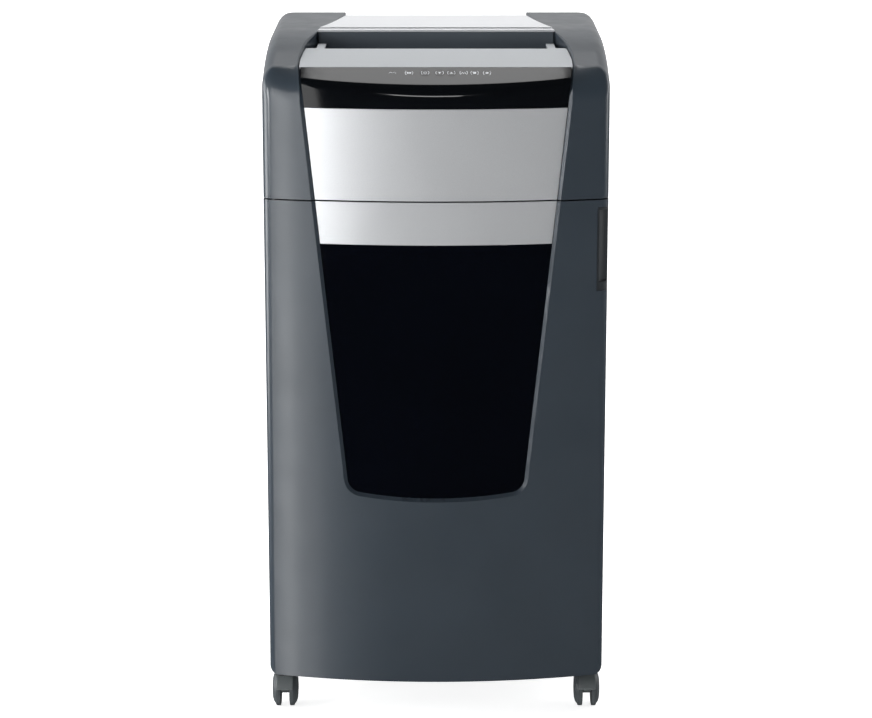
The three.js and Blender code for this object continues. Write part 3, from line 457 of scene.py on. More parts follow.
def case_corner(radius):
    """Centre and start angle of the vertical front corner that joins the bow to the side."""
    reach = BOW_RADIUS - radius
    cx = HALF - radius
    cy = FRONT + BOW_RADIUS - math.sqrt(reach**2 - cx**2)
    start = math.degrees(math.atan2(cy - FRONT - BOW_RADIUS, cx))
    return cx, cy, start


# ------------------------------------------------------------------ door
HINGE = Vector((lo("upper_hinge_pin").x + 7 * MM, lo("upper_hinge_pin").y + 7 * MM, 0))
HINGE_ROUND = 16 * MM
CORNER_LOW = 11 * MM
DOOR_FOOT = 13 * MM
CORNER_SEAM = 15.5 * MM
CORNER_HEAD = 18 * MM


def corner_radius(z):
    return mix(CORNER_LOW, CORNER_SEAM, (z - DOOR_BOTTOM) / (DOOR_TOP - DOOR_BOTTOM))


def door_ring(z):
    radius = corner_radius(z)
    cx, cy, start = case_corner(radius)
    edge_x = BOW_RADIUS * math.cos(math.radians(start))
    right = arc(cx, cy, radius, start, 0, 10)
    front = [(x, FRONT + bow(x)) for x in spread(-edge_x, edge_x, ACROSS)][1:-1]
    left = [(-x, y) for x, y in right]
    hinge = arc(HINGE.x, HINGE.y, HINGE_ROUND, 90, 166, 10)
    outline = hinge + left[::-1] + front + right + [(HALF, DOOR_BACK)]
    return [(x, y, z) for x, y in outline]


def build_door():
    levels = spread(DOOR_BOTTOM, DOOR_TOP, 30)
    rings = [door_ring(z) for z in levels]
    count = len(rings[0])
    faces = sheet_faces(len(rings), count, True)
    top = (len(rings) - 1) * count
    faces += [list(range(count)), list(range(top, top + count))]
    door = blank("door_moulding", [p for ring in rings for p in ring], faces)
    foot = DOOR_FOOT
    view = (
        [(-HALF - MM, DOOR_TOP + MM)]
        + [(-HALF - MM, DOOR_BOTTOM + foot)]
        + arc(-HALF + foot, DOOR_BOTTOM + foot, foot, 180, 270, 8)
        + arc(HALF - foot, DOOR_BOTTOM + foot, foot, 270, 360, 8)
        + [(HALF + MM, DOOR_BOTTOM + foot), (HALF + MM, DOOR_TOP + MM)]
    )
    keep(door, prism("view", view, "y", FRONT - 5 * MM, DOOR_BACK + MM))
    left = HINGE.x + 20 * MM
    right = HALF - 3 * MM
    inside = [(x, FRONT + SKIN + bow(x)) for x in spread(left, right - 10 * MM, ACROSS)]
    inside += [(right, DOOR_BACK - 22 * MM), (right, DOOR_BACK + MM), (left, DOOR_BACK + MM)]
    cut(door, prism("inside", inside, "z", DOOR_BOTTOM + 3 * MM, DOOR_TOP - 3 * MM))
    top_z = DOOR_TOP + 3 * MM
    in_front = REVEAL / SKIN * 3 * MM
    rim = field_rows(WINDOW_BOTTOM, top_z, REVEAL + in_front, True)
    inner = field_rows(WINDOW_BOTTOM, top_z, 0, True)
    cut(door, field_block("recess", [(rim, -3 * MM), (inner, SKIN), (inner, SKIN + 3.6 * MM)]))
    grip = lo("door_grip"), hi("door_grip")
    scoop = bar("scoop", 22 * MM, "z", grip[0].z - GAP, grip[1].z + GAP, HALF + 6 * MM,
                FRONT + 27 * MM, 64)
    cut(door, scoop)
    soften(door, 0.9 * MM, 3)
    place(door, CHARCOAL, "door", "charcoal_plastic", ["door_panel"])


def build_field():
    front = SKIN + GAP
    back = front + 3 * MM
    lap = 6 * MM
    rows = field_rows(WINDOW_BOTTOM, STRIP_BOTTOM - GAP, lap, True)
    window = field_block("smoked_window", [(rows, front), (rows, back)])
    place(window, WINDOW, "door", "smoked_window", ["door_window"])
    inset = -0.5 * MM
    rows = field_rows(STRIP_BOTTOM, DOOR_TOP, inset, False)
    strip = field_block("door_strip", [(rows, front), (rows, back)])
    place(soften(strip, 0.5 * MM), SILVER, "door", "silver_paint", ["door_silver_strip"])
    rows = field_rows(HEAD_BOTTOM, FASCIA_TOP - GAP, inset, False)
    fascia = field_block("front_fascia", [(rows, front), (rows, back)])
    place(soften(fascia, 0.5 * MM), SILVER, "chassis", "silver_paint", ["head_front_fascia"])


def build_grip():
    """The finger pull: a curved pocket in the door's free edge."""
    low, high = lo("door_grip"), hi("door_grip")
    cx, cy = HALF + 6 * MM, FRONT + 27 * MM
    outer = 21.6 * MM
    grip = bar("door_finger_grip", outer, "z", low.z, high.z, cx, cy, 64)
    body = [(x - 0.4 * MM, y + 0.4 * MM) for x, y, _ in door_ring(low.z)]
    keep(grip, prism("body", body, "z", low.z - MM, high.z + MM))
    cut(grip, bar("pocket", outer - 2 * MM, "z", low.z + 12 * MM, high.z - 3 * MM, cx, cy, 64))
    soften(grip, 0.4 * MM)
    # The black moulding here is painted shade: it darkens the whole lining to stand for the shadow deep in
    # the finger pocket.
    place(grip, BLACK, "door", "black_plastic", ["door_grip"])


def build_liner():
    """The door's inner skin: a sheet with grooves and an opening behind the window."""
    low, high = lo("door_inner_liner"), hi("door_inner_liner")
    outline = [(low.x, low.z), (high.x, low.z), (high.x, high.z), (low.x, high.z)]
    panel = prism("door_liner", outline, "y", low.y, high.y)
    cut(panel, block("look", (-0.14, low.y - MM, 0.35), (0.14, high.y + MM, 0.69)))
    for z in spread(low.z + 0.04, 0.31, 4):
        start = (low.x + 0.03, high.y - 1.2 * MM, z)
        cut(panel, block("groove", start, (high.x - 0.03, high.y + MM, z + 0.012)))
    soften(panel, 0.5 * MM)
    place(panel, LINER, "door", "grey_liner", ["door_inner_liner"])


# ------------------------------------------------------------------ shoulders
def catmull(points, t):
    """A smooth curve through points, by the value of their first coordinate."""
    for i in range(len(points) - 1):
        if t <= points[i + 1][0] or i == len(points) - 2:
            break
    p1, p2 = points[i], points[i + 1]
    p0 = points[i - 1] if i else (2 * p1[0] - p2[0], 2 * p1[1] - p2[1])
    p3 = points[i + 2] if i + 2 < len(points) else (2 * p2[0] - p1[0], 2 * p2[1] - p1[1])
    u = (t - p1[0]) / (p2[0] - p1[0])
    slope1 = (p2[1] - p0[1]) / (p2[0] - p0[0]) * (p2[0] - p1[0])
    slope2 = (p3[1] - p1[1]) / (p3[0] - p1[0]) * (p2[0] - p1[0])
    h = u * u * (3 - 2 * u)
    return (1 - h) * p1[1] + h * p2[1] + u * (1 - u) ** 2 * slope1 - u * u * (1 - u) * slope2


# Distances back from the head's front face, with the crown's height and the inner edge's half width.
CROWN = [(0.0, -57.0), (0.034, -46.0), (0.064, -36.0), (0.094, -25.0), (0.134, -15.0), (0.194, -7.0),
         (0.264, -4.0), (0.344, -2.0), (0.408, 0.0)]
INNER_EDGE = [(0.0, 189.5), (0.034, 191.0), (0.079, 191.0), (0.138, 183.0), (0.186, 171.0),
              (0.244, 158.5), (0.314, 147.5), (0.408, 136.4)]


def crown(y):
    return HEAD_TOP + catmull(CROWN, y - FRONT) * MM


def inner_edge(y):
    return catmull(INNER_EDGE, y - FRONT) * MM


def shoulder_plan():
    """Rows round the shoulder's outline: (start share on the front, x, y, inner y, H, W, bottom)."""
    cx, cy, start = case_corner(CORNER_HEAD)
    edge_x = BOW_RADIUS * math.cos(math.radians(start))
    inner_front = FRONT + 54 * MM
    knee, side, rear = (38 * MM, 36 * MM), (27 * MM, 20 * MM), (3 * MM, 4 * MM)
    rows = []
    for u in spread(0, 1, 10)[:-1]:
        rows.append((u, edge_x, None, inner_front + u * 6 * MM, *knee, HEAD_BOTTOM))
    corner = arc(cx, cy, CORNER_HEAD, start, 0, 12)
    for i, (x, y) in enumerate(corner):
        t = smooth(i / 12)
        shape = [mix(a, b, t) for a, b in zip(knee, side)]
        rows.append((1, x, y, inner_front + mix(6, 16, i / 12) * MM, *shape, HEAD_BOTTOM))
    last_side = REAR - REAR_CORNER
    for t in spread(0, 1, 22)[1:]:
        rows.append((1, HALF, mix(cy, last_side, t), mix(inner_front + 16 * MM, REAR - 50 * MM, t),
                     *side, HEAD_BOTTOM))
    tail = arc(HALF - REAR_CORNER, last_side, REAR_CORNER, 0, 90, 10)
    for i, (x, y) in list(enumerate(tail))[1:]:
        t = smooth(i / 10)
        shape = [mix(a, b, t) for a, b in zip(side, rear)]
        rows.append((1, x, y, REAR - mix(50, 20, i / 10) * MM, *shape, HEAD_BOTTOM))
    end = inner_edge(REAR)
    rows.append((1, HALF - REAR_CORNER - 0.2 * MM, REAR, REAR - 20 * MM, *rear, COVER_TOP + GAP))
    for t in spread(0, 1, 6)[1:]:
        rows.append((1, mix(HALF - REAR_CORNER, end, t), REAR, REAR - mix(20, 0.5, t) * MM, *rear,
                     COVER_TOP + GAP))
    return rows


WALL_STEPS = 8
ROUND_STEPS = 10
TOP_STEPS = 8


def shoulder_row(row):
    """One row of points: up the wall, over the rounded edge and across the crown."""
    u, x, y, inner_y, height, width, bottom = row

    def foot(z):
        if y is not None:
            return Vector((x, y, z))
        px = mix(field_half(z) + REVEAL, x, u)
        return Vector((px, FRONT + bow(px), z))

    rim_y = foot(HEAD_TOP).y if y is None else y
    wall_top = crown(rim_y) - height
    points = [foot(z) for z in spread(bottom, wall_top, WALL_STEPS)]
    start = points[-1].copy()
    goal = Vector((inner_edge(inner_y), inner_y, 0))
    path = Vector((goal.x - start.x, goal.y - start.y, 0))
    length = path.length
    heading = path / length if length > 1e-6 else Vector((-1, 0, 0))
    for angle in spread(0, 90, ROUND_STEPS)[1:]:
        reach = min(width * (1 - math.cos(math.radians(angle))), length * (0.1 + 0.85 * angle / 90))
        spot = start + heading * reach
        drop = height * (1 - math.sin(math.radians(angle)))
        points.append(Vector((spot.x, spot.y, crown(spot.y) - drop)))
    near = points[-1]
    for t in spread(0, 1, TOP_STEPS)[1:]:
        px, py = mix(near.x, goal.x, t), mix(near.y, goal.y, t)
        points.append(Vector((px, py, crown(py))))
    return points


def shoulder_lip(first_row, rows):
    """The chamfer beside the centre field, turning into the edge of the inner wall above the deck."""
    floor = BAND_REAR_Z - 16 * MM

    def top_edge(point):
        width = mix(1.9, 0.7, smooth((point.y + 0.06) / 0.05)) * MM
        lip = point + Vector((-width, 0, -1.4 * width))
        return lip, Vector((lip.x, lip.y, floor))

    edge, lips = [], []
    for i, point in enumerate(first_row):
        t = smooth((i - WALL_STEPS) / ROUND_STEPS)
        front_lip = point + Vector((-REVEAL, SKIN, 0))
        front_wall = front_lip + Vector((0, 4 * MM, 0))
        top_lip, top_wall = top_edge(point)
        edge.append(point)
        lips.append((front_lip.lerp(top_lip, t), front_wall.lerp(top_wall, t)))
    for row in rows[1:]:
        edge.append(row[-1])
        lips.append(top_edge(row[-1]))
    return edge, lips


def build_shoulders():
    rows = [shoulder_row(row) for row in shoulder_plan()]
    columns = len(rows[0])
    points = [p for row in rows for p in row]
    faces = sheet_faces(len(rows), columns)
    edge, lips = shoulder_lip(rows[0], rows)
    base = len(points)
    for spot, (lip, wall) in zip(edge, lips):
        points += [spot, lip, wall]
    faces += [[base + i for i in face] for face in sheet_faces(len(edge), 3)]
    for side, name, node in ((1, "shoulder_right", "right_shoulder"), (-1, "shoulder_left", "left_shoulder")):
        shell = blank(name, [(side * p[0], p[1], p[2]) for p in points], faces)
        skin = shell.modifiers.new("skin", "SOLIDIFY")
        skin.thickness = 2.4 * MM
        skin.offset = -1
        apply_modifiers(shell)
        place(shell, CHARCOAL, "chassis", "charcoal_plastic", [node], 28)


# ------------------------------------------------------------------ control band and keys
BAND_FRONT = FRONT + SKIN + GAP
BAND_SLOPE = math.radians(33.6)
BAND_ROLL = 33 * MM  # bend radius at the middle
BAND_ROLL_END = 12 * MM  # bend radius beside the shoulders
BAND_STEPS = 12


def band_row(x):
    """(y, z) points at one x: up from the fascia, over the roll and up the flat slope to the deck."""
    front = BAND_FRONT + bow(x)
    corner = BAND_REAR_Z - (BAND_REAR_Y - front) * math.tan(BAND_SLOPE)
    turn = math.pi / 2 - BAND_SLOPE
    roll = BAND_ROLL - (BAND_ROLL - BAND_ROLL_END) * (x / FIELD_HALF_TOP) ** 2
    start = corner - roll * math.tan(turn / 2)
    row = [(front, z) for z in spread(FASCIA_TOP, start, 3)[:-1]]
    for angle in spread(0, turn, BAND_STEPS):
        row.append((front + roll * (1 - math.cos(angle)), start + roll * math.sin(angle)))
    y, z = row[-1]
    return row + [(mix(y, BAND_REAR_Y, t), mix(z, BAND_REAR_Z, t)) for t in spread(0, 1, 3)[1:]]


def band_point(x, reach, lift=0.0):
    """A point on the band's flat slope, reach down from the deck's edge and lift above the surface."""
    down = Vector((0, -math.cos(BAND_SLOPE), -math.sin(BAND_SLOPE)))
    out = Vector((0, -math.sin(BAND_SLOPE), math.cos(BAND_SLOPE)))
    return Vector((x, BAND_REAR_Y, BAND_REAR_Z)) + down * reach + out * lift


def key_disc(name, radius, low, high, x):
    """A round key whose axis stands square to the slope."""
    profile = [(CORE, low), (radius, low), (radius, high - 0.3 * MM), (radius - 0.3 * MM, high),
               (CORE, high)]
    return on_slope(lathe(name, profile, (0, 0, 0), 56, "z"), x)


def on_slope(piece, x):
    piece.data.transform(Matrix.Translation(band_point(x, KEY_REACH)) @ Matrix.Rotation(BAND_SLOPE, 4, "X"))
    return piece


def build_band():
    points = []
    for k in range(ACROSS + 1):
        share = 2 * k / ACROSS - 1
        for y, z in band_row(share * field_half(BAND_KNEE_Z)):
            points.append((share * (field_half(z) - GAP), y, z))
    rows = len(band_row(0))
    band = blank("control_band", points, sheet_faces(ACROSS + 1, rows))
    skin = band.modifiers.new("skin", "SOLIDIFY")
    skin.thickness = 2.6 * MM
    skin.offset = -1
    apply_modifiers(band)
    heal(band)
    for x in KEYS.values():
        hole = bar("key_hole", KEY_RADIUS + 0.25 * MM, "z", -8 * MM, 4 * MM, 0, 0, 56)
        cut(band, on_slope(hole, x * MM))
    place(band, GLOSS, "chassis", "gloss_black", ["control_panel"], 25)
    for node, x in KEYS.items():
        body = node.replace("_key", "_button")
        cap = key_disc(node + "_cap", KEY_RADIUS, -4 * MM, 0.15 * MM, x * MM)
        place(cap, GLOSS, body, "gloss_black", [node])


# ------------------------------------------------------------------ icons
ICON_HALF = 5.6 * MM


def flat_icon(name, strokes, x, body, lift):
    """Thin white shapes printed on the band: each stroke is an outline in icon units."""
    vertices, faces = [], []
    centre = band_point(x, KEY_REACH, lift)
    up = (band_point(x, 0, lift) - centre).normalized()
    for outline in strokes:
        base = len(vertices)
        vertices += [centre + Vector((a, 0, 0)) + up * b for a, b in outline]
        faces.append(list(range(base, base + len(outline))))
    mesh = bpy.data.meshes.new(name)
    mesh.from_pydata([tuple(v) for v in vertices], [], faces)
    made = bpy.data.objects.new(name, mesh)
    bpy.context.scene.collection.objects.link(made)
    skin = made.modifiers.new("ink", "SOLIDIFY")
    skin.thickness = 0.08 * MM
    apply_modifiers(made)
    place(made, ICON, body, "gloss_black")


def stroke_arc(radius, start, end, width=0.7 * MM, squeeze=1.0):
    outer = [(x, y * squeeze) for x, y in arc(0, 0, radius, start, end, 10)]
    inner = [(x, y * squeeze) for x, y in arc(0, 0, radius - width, end, start, 10)]
    return outer + inner


def brackets():
    return [stroke_arc(ICON_HALF, -42, 42), stroke_arc(ICON_HALF, 138, 222)]


def rect(x0, x1, y0, y1):
    return [(x0 * MM, y0 * MM), (x1 * MM, y0 * MM), (x1 * MM, y1 * MM), (x0 * MM, y1 * MM)]


def poly(*points):
    return [(x * MM, y * MM) for x, y in points]


def glyphs():
    """Eight generic pictograms, left to right."""
    power = [stroke_arc(2.4 * MM, -235, 55), rect(-0.25, 0.25, 0.4, 3.0)]
    return {
        "icon_jam": [poly((-5, -1), (-2.5, 2.2), (0, -1), (-0.7, -1), (-2.5, 1.3), (-4.3, -1)),
                     poly((0, -1), (2.5, 2.2), (5, -1), (4.3, -1), (2.5, 1.3), (0.7, -1))],
        "icon_sheets": brackets() + [rect(-3, -1.4, -1.6, 1.8), rect(-0.8, 0.8, -1.6, 1.8),
                                     rect(1.4, 3, -1.6, 1.8)],
        "icon_standby": brackets() + power,
        "icon_reverse": brackets() + [poly((-2.4, 1.4), (2.4, 1.4), (0, -2))],
        "icon_forward": brackets() + [poly((-2.4, -1.4), (0, 2), (2.4, -1.4))],
        "icon_door": brackets() + [poly((-3.4, -1.8), (-2.6, -1.8), (-1, 1.8), (-1.8, 1.8)),
                                   poly((2.6, -1.8), (3.4, -1.8), (1.8, 1.8), (1, 1.8)),
                                   rect(-0.6, 0.6, -1.8, 0)],
        "icon_bin": brackets() + [poly((-1.8, -1.9), (1.8, -1.9), (2.4, 1.4), (-2.4, 1.4)),
                                  rect(-2.8, 2.8, 1.8, 2.3)],
        "icon_heat": brackets() + [poly((-2.6, 0), (0, -2), (2.6, 0), (0, 2))],
    }


def build_icons():
    places = [-60, -37, -15, 5, 21, 38, 53, 70]
    riders = {"icon_" + key: key + "_button" for key in ("standby", "reverse", "forward")}
    for (name, strokes), x in zip(glyphs().items(), places):
        body = riders.get(name, "chassis")
        flat_icon(name, strokes, x * MM, body, 0.26 * MM if name in riders else 0.1 * MM)


# ------------------------------------------------------------------ cabinet
def case_outline(inset):
    return arc(HALF - REAR_CORNER, REAR - REAR_CORNER, REAR_CORNER - inset, 0, 90, 14)


def build_side_panels():
    front = lo("right_side_panel").y
    low, high = lo("right_side_panel").z, hi("right_side_panel").z
    depth = 10 * MM
    plan = [(HALF, front)] + case_outline(0) + case_outline(depth)[::-1] + [(HALF - depth, front)]
    foot = 10 * MM
    profile = arc(front + foot, low + foot, foot, 180, 270, 8)
    profile += [(REAR + MM, low), (REAR + MM, high + MM), (front, high + MM)]
    for side, name, node in ((1, "case_side_right", "right_side_panel"),
                             (-1, "case_side_left", "left_side_panel")):
        panel = prism(name, [(side * x, y) for x, y in plan], "z", low, high)
        keep(panel, prism("profile", profile, "x", -HALF - MM, HALF + MM))
        soften(panel, 1.0 * MM, 3)
        place(panel, CHARCOAL, "chassis", "charcoal_plastic", [node])


def rear_sheet(node, name, sinks, holes=()):
    """A rear sheet with countersunk screw seats; holes are (low, high) corner pairs."""
    low, high = lo(node), hi(node)
    panel = block(name, low, high)
    for a, b in holes:
        cut(panel, block("hole", a, b))
    for x, z in sinks:
        seat = bar("seat", 5 * MM, "y", high.y - 1.4 * MM, high.y + MM, x, z, 32)
        cut(panel, seat)
    soften(panel, 0.5 * MM)
    place(panel, CHARCOAL, "chassis", "charcoal_plastic", [node])
    for i, (x, z) in enumerate(sinks):
        screw(name + "_screw_%d" % i, x, high.y - 1.4 * MM, z)


def screw(name, x, y, z):
    """A domed cross-head screw seated in a sheet, its head towards the rear."""
    profile = [(CORE, -0.1 * MM), (4.2 * MM, -0.1 * MM), (4.2 * MM, 0.3 * MM), (3.6 * MM, 0.8 * MM),
               (2.2 * MM, 1.15 * MM), (CORE, 1.3 * MM)]
    head = lathe(name, profile, (x, y, z), 32, "y")
    for w, h in ((0.5, 2.2), (2.2, 0.5)):
        cut(head, block("slot", (x - w * MM, y + 0.5 * MM, z - h * MM), (x + w * MM, y + 2 * MM, z + h * MM)))
    place(head, STEEL, "chassis", "bright_steel")


def build_back():
    low, high = lo("rear_panel"), hi("rear_panel")
    edge = 14 * MM
    sinks = [(side * (high.x - edge), z) for side in (-1, 1) for z in spread(low.z + edge, high.z - edge, 3)]
    rear_sheet("rear_panel", "case_back", sinks)
    low, high = lo("head_back_cover"), hi("head_back_cover")
    inlet_low, inlet_high = lo("power_inlet"), hi("power_inlet")
    rocker_low, rocker_high = lo("mains_rocker"), hi("mains_rocker")
    reach = Vector((0, 10 * MM, 0))
    holes = []
    swing = 2.4 * MM  # room for the rocker's tilt
    rim = 0.6 * MM
    for box_low, box_high, room in ((inlet_low, inlet_high, rim), (rocker_low, rocker_high, swing)):
        holes.append((Vector((box_low.x - rim, low.y, box_low.z - room)) - reach,
                      Vector((box_high.x + rim, high.y, box_high.z + room)) + reach))
    for x in spread(-20, 170, 9):
        slot_low = Vector((x * MM - 4 * MM, low.y, 0.8)) - reach
        holes.append((slot_low, Vector((x * MM + 4 * MM, high.y, 0.85)) + reach))
    sinks = [(side * (high.x - edge), z) for side in (-1, 1) for z in (low.z + edge, high.z - edge)]
    rear_sheet("head_back_cover", "head_back", sinks, holes)


# ------------------------------------------------------------------ bin
def build_bin():
    """A tapered, ribbed tub with rounded corners, a rolled rim and a hand hole."""
    low, high = lo("shred_bin"), hi("shred_bin")
    rim = 5 * MM
    taper = 8 * MM
    wall = 2.6 * MM
    corner = 24 * MM

    def outline(z, grow, radius):
        lean = taper * (high.z - z) / (high.z - low.z)
        x = high.x - rim - lean + grow
        y0, y1 = low.y + rim + lean - grow, high.y - rim - lean + grow
        points = []
        for cx, cy, start in ((x - radius, y1 - radius, 0), (-x + radius, y1 - radius, 90),
                              (-x + radius, y0 + radius, 180), (x - radius, y0 + radius, 270)):
            points += [(px, py, z) for px, py in arc(cx, cy, radius, start, start + 90, 8)]
        return points

    top_roll = [(0.0, -rim * 1.6), (rim * 0.9, -rim * 1.6), (rim, -rim * 1.2), (rim, -rim * 0.3),
                (rim * 0.7, 0), (-wall * 0.6, 0), (-wall, -wall * 0.5)]
    rings = [outline(low.z, -4 * MM, corner - 4 * MM), outline(low.z + 1.5 * MM, -1.2 * MM, corner - MM),
             outline(low.z + 5 * MM, 0, corner)]
    for z in spread(low.z + 60 * MM, high.z - 60 * MM, 5):
        rings += [outline(z - 6 * MM, 0, corner), outline(z - 4 * MM, 1.4 * MM, corner),
                  outline(z + 4 * MM, 1.4 * MM, corner), outline(z + 6 * MM, 0, corner)]
    rings += [outline(high.z + dz, grow, corner + grow) for grow, dz in top_roll]
    rings += [outline(z, -wall, corner - wall) for z in (high.z - 60 * MM, low.z + 8 * MM)]
    rings += [outline(low.z + wall, -wall - 5 * MM, corner - wall - 4 * MM)]
    count = len(rings[0])
    faces = sheet_faces(len(rings), count, True)
    last = (len(rings) - 1) * count
    faces += [list(range(count)), list(range(last, last + count))]
    tub = blank("shred_tub", [p for ring_points in rings for p in ring_points], faces)
    hole_z = high.z - 45 * MM
    hole = arc(-45 * MM, hole_z, 14 * MM, 90, 270, 10) + arc(45 * MM, hole_z, 14 * MM, -90, 90, 10)
    cut(tub, prism("hand_hole", hole, "y", low.y - 20 * MM, low.y + 40 * MM))
    place(tub, BIN, "bin", "black_plastic", ["shred_bin"], 30)


# ------------------------------------------------------------------ cutting mechanism
DISC_PITCH = 24 * MM
DISC_WIDTH = 10.4 * MM
DISC_COUNT = 13
DISC_LAYERS = 3
DISC_TEETH = 14
SPACER_RADIUS = 24 * MM


def cutting_disc(x, y, z, phase, radius, width):
    """One thin cutting disc with hooked teeth."""
    outline = []
    for i in range(DISC_TEETH):
        for share, level in ((0.0, 1.0), (0.16, 0.93), (0.5, 0.925), (0.86, 0.955)):
            angle = 2 * math.pi * (i + share + phase) / DISC_TEETH
            outline.append((y + radius * level * math.cos(angle), z + radius * level * math.sin(angle)))
    return prism("disc", outline, "x", x, x + width)


def build_cutter(node, name, body, first):
    low, high = lo(node), hi(node)
    z = (low.z + high.z) / 2
    radius = (high.z - low.z) / 2
    y = (low.y + high.y) / 2
    end = 0.159
    journal = 8.9 * MM
    pieces = [lathe("core", [(CORE, low.x), (journal, low.x), (journal, -end), (SPACER_RADIUS, -end + MM),
                             (SPACER_RADIUS, end - MM), (journal, end), (journal, high.x), (CORE, high.x)],
                    (0, y, z), 40)]
    slice_width = DISC_WIDTH / DISC_LAYERS
    for i in range(DISC_COUNT):
        for layer in range(DISC_LAYERS):
            x = first + i * DISC_PITCH + layer * slice_width
            phase = 0.31 * layer + 0.17 * i
            pieces.append(cutting_disc(x, y, z, phase, radius * 0.998, slice_width - 0.5 * MM))
    shaft = join(name, pieces)
    place(shaft, STEEL, body, "bright_steel", [node])


def gear_piece(node, name, body, teeth, bore, phase):
    low, high = lo(node), hi(node)
    y, z = (low.y + high.y) / 2, (low.z + high.z) / 2
    module = 2.5 * MM
    pitch = module * teeth / 2
    outline = []
    for i in range(teeth):
        for share, level in ((-0.3, -1.2), (-0.2, -0.2), (-0.1, 0.8), (0.1, 0.8), (0.2, -0.2), (0.3, -1.2)):
            angle = 2 * math.pi * (i + share + phase) / teeth
            radius = pitch + level * module
            outline.append((y + radius * math.cos(angle), z + radius * math.sin(angle)))
    wheel = prism(name, outline, "x", low.x, high.x)
    cut(wheel, bar("bore", bore, "x", low.x - MM, high.x + MM, y, z, 32))
    if teeth > 15:
        for end in (low.x - MM, high.x - 3 * MM):
            web = lathe("web", [(bore + 5 * MM, end), (pitch - 7 * MM, end), (pitch - 7 * MM, end + 4 * MM),
                                (bore + 5 * MM, end + 4 * MM)], (0, y, z), 40)
            cut(wheel, web)
    soften(wheel, 0.3 * MM, 1)
    place(wheel, STEEL, body, "bright_steel", [node])


def build_motor():
    """A finned motor can on its foot, with end bells and the shaft."""
    low, high = lo("drive_motor"), hi("drive_motor")
    y = (low.y + high.y) / 2
    z = hi("drive_motor").z - (high.y - low.y) / 2
    left = -0.142
    radius = (high.y - low.y) / 2
    profile = [(CORE, low.x), (2.8 * MM, low.x), (2.8 * MM, left - 8 * MM), (14 * MM, left - 6 * MM),
               (16 * MM, left), (radius * 0.9, left), (radius, left + 5 * MM)]
    for x in spread(left + 25 * MM, high.x - 30 * MM, 10):
        profile += [(radius, x - 2 * MM), (radius * 0.93, x - 1.5 * MM), (radius * 0.93, x + 1.5 * MM),
                    (radius, x + 2 * MM)]
    profile += [(radius, high.x - 5 * MM), (radius * 0.9, high.x), (CORE, high.x)]
    can = lathe("motor_can", profile, (0, y, z), 64)
    foot = block("foot", (left + 20 * MM, y - 40 * MM, low.z), (left + 130 * MM, y + 40 * MM, low.z + 5 * MM))
    saddle = block("saddle", (left + 30 * MM, y - 20 * MM, low.z + 4 * MM),
                   (left + 120 * MM, y + 20 * MM, z - 30 * MM))
    motor = join("motor_unit", [can, soften(foot, 0.8 * MM), soften(saddle, 0.8 * MM)])
    place(motor, MOTOR, "chassis", "bright_steel", ["drive_motor"])


# ------------------------------------------------------------------ castors
WHEEL_RADIUS = (hi("castor_front_left_wheel_left").z - lo("castor_front_left_wheel_left").z) / 2
WHEEL_OUT = 18.8 * MM
WHEEL_IN = 6.4 * MM
TRAIL = 13 * MM
HOOD_HALF = 12 * MM
HOOD_END = 168  # degrees round the axle, to the lip in front of the treads


def build_castor(spot):
    housing = "castor_" + spot + "_housing"
    left = lo("castor_" + spot + "_wheel_left")
    right = hi("castor_" + spot + "_wheel_right")
    x = (left.x + right.x) / 2
    axle_y = (left.y + right.y) / 2
    stem_y = axle_y - TRAIL
    z = WHEEL_RADIUS
    body = "castor_" + spot
    outer, inner = WHEEL_RADIUS + 3.5 * MM, WHEEL_RADIUS + MM
    hood = arc(axle_y, z, outer, 15, HOOD_END, 32) + arc(axle_y, z, inner, HOOD_END, 15, 32)
    cover = soften(prism("cover", hood, "x", x - HOOD_HALF, x + HOOD_HALF), 1.0 * MM, 3)
    web = arc(axle_y, z, WHEEL_RADIUS + 2 * MM, 25, 165, 24)
    web += [(axle_y - WHEEL_RADIUS, z + 5 * MM), (axle_y - 8 * MM, z - 6 * MM), (axle_y + 8 * MM, z - 6 * MM)]
    fin = soften(prism("fin", web, "x", x - 5.8 * MM, x + 5.8 * MM), 1.0 * MM, 3)
    collar_low = 2 * WHEEL_RADIUS + 0.6 * MM
    shank = 4.9 * MM
    profile = [(CORE, z + 20 * MM), (shank, z + 20 * MM), (shank, collar_low), (7.2 * MM, collar_low),
               (8 * MM, collar_low + MM), (8 * MM, 68 * MM), (7.4 * MM, 68.8 * MM), (shank, 69 * MM),
               (shank, 83 * MM), (4 * MM, 84 * MM), (CORE, 84 * MM)]
    stem = lathe("stem", profile, (x, stem_y, 0), 40, "z")
    axle = bar("axle", 3 * MM, "x", x - WHEEL_OUT + 3 * MM, x + WHEEL_OUT - 3 * MM, axle_y, z, 24)
    made = join("castor_" + spot + "_hood", [cover, fin, stem, axle])
    place(made, CASTOR_GREY, body, "charcoal_plastic", [housing])
    for label, side in (("left", -1), ("right", 1)):
        build_wheel(spot, label, side, (x, axle_y, z))


